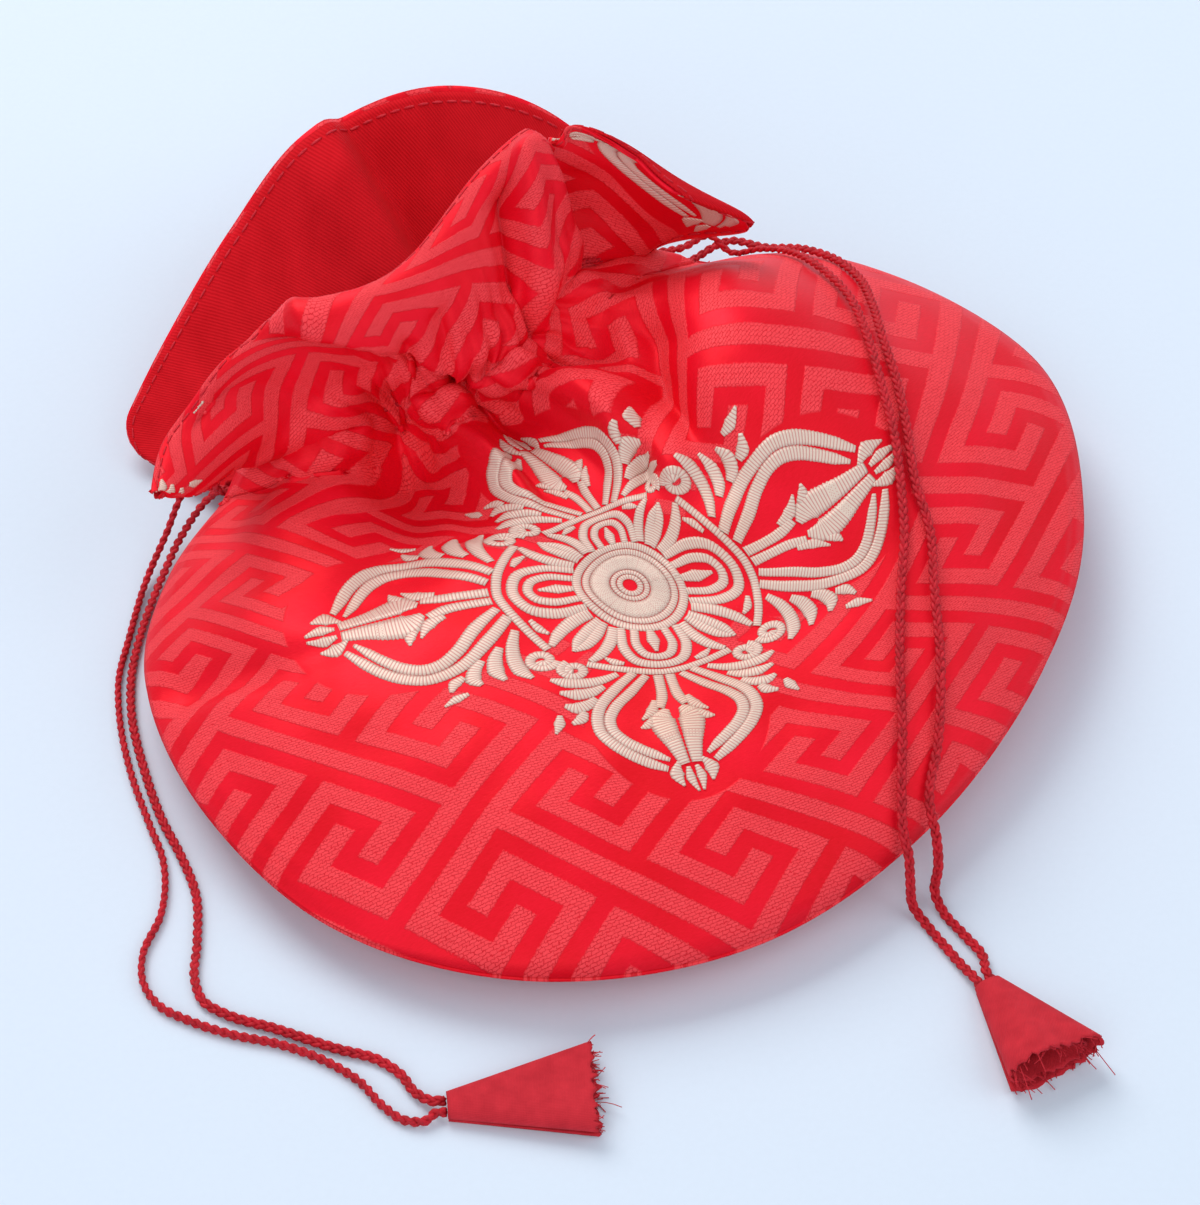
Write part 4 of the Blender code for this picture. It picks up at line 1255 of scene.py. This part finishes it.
def goldLook():
    look = lookNodes("pale gold satin stitch", 0.5)
    along, across, half = look.split(look.node("Attribute", attribute_name="stitch")["Vector"])
    pitch = 2 * math.pi / goldThread["stitch"]
    turn = look.times(along, pitch)
    threads = look.wave(turn)
    rows = look.math("SINE", look.times(look.times(across, half), pitch))
    dots = look.math("MULTIPLY_ADD", look.times(look.math("SINE", turn), rows), 0.5, 0.5)
    least, most = goldThread["dottedWidths"]
    dotted = look.times(look.math("GREATER_THAN", half, least), look.math("LESS_THAN", half, most))
    pattern = look.node("Mix", {0: dotted, 2: threads, 3: dots}, data_type="FLOAT")[0]
    rim = look.range(look.math("ABSOLUTE", across), 0.8, 1.0, 1.0, 0.6)
    share = look.times(look.range(pattern, 0.0, 0.45, 0.3, 1.0), rim)
    # clouds of the warmer tint are a painted sheen of the metal thread, laid at random
    cloud = look.range(look.noise(look.where(), 38.0, 1.0), 0.55, 0.75, 0.0, 0.6)
    bright = look.mix(cloud, rgba(goldThread["bright"]), rgba(goldThread["warmPaintedSheen"]))
    look.set("Base Color", look.mix(share, rgba(goldThread["shade"]), bright))
    look.set("Metallic", look.range(pattern, 0.0, 1.0, 0.10, 0.25))
    look.bump(pattern, 0.00006, 0.6)
    return look.made


gold = goldLook()
for name, surface, side in (("frontEmbroidery", frontShell, 1), ("backEmbroidery", backShell, -1)):
    bm = embroideryMesh()
    for middle in ornamentPlaces:
        if side > 0 or middle[1] > 0:
            addOrnament(bm, middle)
    trimToCloth(bm)
    layOnCloth(bm, surface, "weave")
    embroideryPiece(name, bm, ornament["thickness"], gold, side < 0)
print("embroidery laid")


# topstitching: short red stitches along the rims and beside the back's casing
stitching = {
    "length": 1.9,
    "pitch": 2.7,
    "halfWidth": 0.15,
    "height": 0.16,
    "thickness": 0.1,
    "sunk": 0.08,
    "casingInset": 4,
    "besideChannel": 0.4,
}


def rimPath():
    inset = topstitch["rimInset"]
    top = cut["casingRise"] + cut["flapHeight"] - inset
    corner = cut["rimCorner"] - inset / 2
    neck, rim = cut["neckHalfWidth"] - inset, cut["rimHalfWidth"] - inset
    angles = np.linspace(0.0, math.pi / 2, 7)
    rounded = np.stack([rim - corner + corner * np.cos(angles), top - corner + corner * np.sin(angles)], -1)
    right = np.concatenate([[(neck, cut["casingRise"] + 2)], rounded])
    left = right[::-1] * np.array([-1, 1])
    return np.concatenate([right, left])


def casingPath(away):
    half = cut["neckHalfWidth"] - stitching["casingInset"]
    across = np.linspace(-half, half, 25)
    return np.stack([across, np.full_like(across, cut["casingRise"] + away)], -1)


def addStitches(bm, path):
    run = runOf(path)
    half = stitching["halfWidth"] * np.array([0.5, 1.0, 0.5])
    for start in np.arange(0.0, run[-1] - stitching["length"], stitching["pitch"]):
        where = start + stitching["length"] * np.array([0.0, 0.5, 1.0])
        spots = np.stack([np.interp(where, run, path[:, axis]) for axis in range(2)], -1)
        addRibbon(bm, spots, half, stitching["height"], step=0.5, teeth=0.0)


def stitchThread():
    look = lookNodes("red sewing thread", 0.55)
    twist = look.noise(look.where(), 3000.0)
    look.colour(look.range(twist, 0.2, 0.5), cordColour["deep"], cordColour["thread"])
    look.bump(twist, 0.0001, 0.5)
    return look.made


stitchLook = stitchThread()
away = channel["halfHeight"] + channel["fade"] * stitching["besideChannel"]
for name, surface, paths, flip in (
    ("frontTopstitch", frontShell, (rimPath(),), False),
    ("backTopstitch", backShell, (rimPath(), casingPath(away), casingPath(-away)), True),
    ("frontLiningTopstitch", frontLiner, (rimPath(),), True),
    ("backLiningTopstitch", backLiner, (rimPath(),), False),
):
    bm = embroideryMesh()
    for path in paths:
        addStitches(bm, path)
    layOnCloth(bm, surface, "flat", stitching["sunk"])
    embroideryPiece(name, bm, stitching["thickness"], stitchLook, flip)
print("topstitching laid")


# cones: a scrap of plain cloth rolled round the knotted ends, frayed at its open end
roll = {
    "turns": 1.7,
    "inward": 0.46,
    "around": 132,
    "lengthwise": 30,
    "thickness": 0.38,
    "startTurn": 0.62,
    "slant": 0.05,
    "ragged": 0.018,
    "pinch": 0.35,
    "pinchTurn": 0.18,
    "pinchWidth": 0.07,
}
fray = {"threads": 70, "shortest": 0.6, "longest": 2.6, "radius": 0.085, "seed": 5, "lowest": 0.12}


# a place on the rolled cloth: share of the way from tip to end, and how far round the roll
def conePlace(cone, share, around):
    tip, axis, length = coneAxis(cone)
    turn = roll["startTurn"] + roll["turns"] * around
    left = 1 - roll["inward"] * around
    halfWidth = cones["tipHalf"][0] + (cones["endHalfWidth"] - cones["tipHalf"][0]) * share
    halfHeight = cones["tipHalf"][1] + (cone["halfHeight"] - cones["tipHalf"][1]) * share
    near = math.exp(-((((turn % 1.0) - roll["pinchTurn"]) / roll["pinchWidth"]) ** 2))
    across = (halfWidth - 0.05) * left * math.cos(2 * math.pi * turn)
    up = halfHeight * left * math.sin(2 * math.pi * turn) * (1 - roll["pinch"] * share * near) + halfHeight
    spot = tip + axis * length * share + np.array([-axis[1], axis[0]]) * across
    return np.array([spot[0], spot[1], max(up, 0.05)])


def conePiece(name, cone, node, look, rng):
    bm = bmesh.new()
    ragged = roll["ragged"] * rng.standard_normal(roll["around"] + 1)
    for vert, column, row in gridVerts(bm, roll["around"], roll["lengthwise"]):
        around, share = column / roll["around"], row / roll["lengthwise"]
        end = share * (1 - roll["slant"] * around + ragged[column] * share**6)
        vert.co = Vector(conePlace(cone, end, around)) * mm
    bmesh.ops.reverse_faces(bm, faces=bm.faces)
    piece = finishPiece(name, bm, look)
    thicken(piece, "clothThickness", roll["thickness"])
    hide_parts(node)
    return piece


def frayPiece(name, cone, look, rng):
    axis = coneAxis(cone)[1]
    bm = bmesh.new()
    for _ in range(fray["threads"]):
        around = rng.uniform(0.0, 1.0)
        start = conePlace(cone, 0.97 - roll["slant"] * around, around)
        length = rng.uniform(fray["shortest"], fray["longest"]) * (1 + (rng.uniform() > 0.93))
        way = unit(np.array([*axis, 0.0]) + rng.normal(0.0, 0.35, 3))
        bend = rng.normal(0.0, 0.25, 3)
        share = np.linspace(0.0, 1.0, 5)[:, None]
        line = start + way * length * share + bend * length * share**2
        line[:, 2] = np.maximum(line[:, 2], fray["lowest"])
        addTube(bm, line, fray["radius"], 4)
    closeTubes(bm)
    piece = finishPiece(name, bm, look)
    return piece


plainCloth = {"bright": (0.66, 0.024, 0.040), "dark": (0.46, 0.010, 0.022), "threads": 14000.0}


def coneLook():
    look = lookNodes("plain red cotton", 0.85)
    where = look.where()
    split = look.split(where)
    threads = []
    for operation in ("ADD", "SUBTRACT"):
        aslant = look.math(operation, split[0], split[1])
        threads.append(look.math("SINE", look.times(aslant, plainCloth["threads"])))
    weave = look.math("MULTIPLY_ADD", look.times(*threads), 0.5, 0.5)
    cloud = look.range(look.noise(where, 350.0, 3.0), 0.3, 0.7, 0.0, 0.6)
    look.colour(look.math("ADD", look.times(weave, 0.35), cloud), plainCloth["dark"], plainCloth["bright"])
    look.bump(weave, 0.0001, 0.6)
    return look.made


coneCloth = coneLook()
for name in ("left", "right"):
    rng = np.random.default_rng(fray["seed"] + len(name))
    piece = conePiece(name + "Cone", cones[name], name + "_cone", coneCloth, rng)
    threads = frayPiece(name + "ConeFray", cones[name], coneCloth, rng)
print("cones rolled")

for piece, side, line in cordPieces:
    path = [tuple(float(value) * mm for value in point) for point in line]

# floor
floor = {"halfWidth": 3.0, "colour": (0.665, 0.76, 0.87)}


def addFloor():
    look = lookNodes("pale floor", 0.9)
    low = tuple(0.97 * value for value in floor["colour"])
    look.colour(look.noise(look.where(), 900.0), low, floor["colour"])
    bm = bmesh.new()
    bmesh.ops.create_grid(bm, x_segments=1, y_segments=1, size=floor["halfWidth"])
    meshObject("floor", bm, look.made)


addFloor()
print("floor laid")
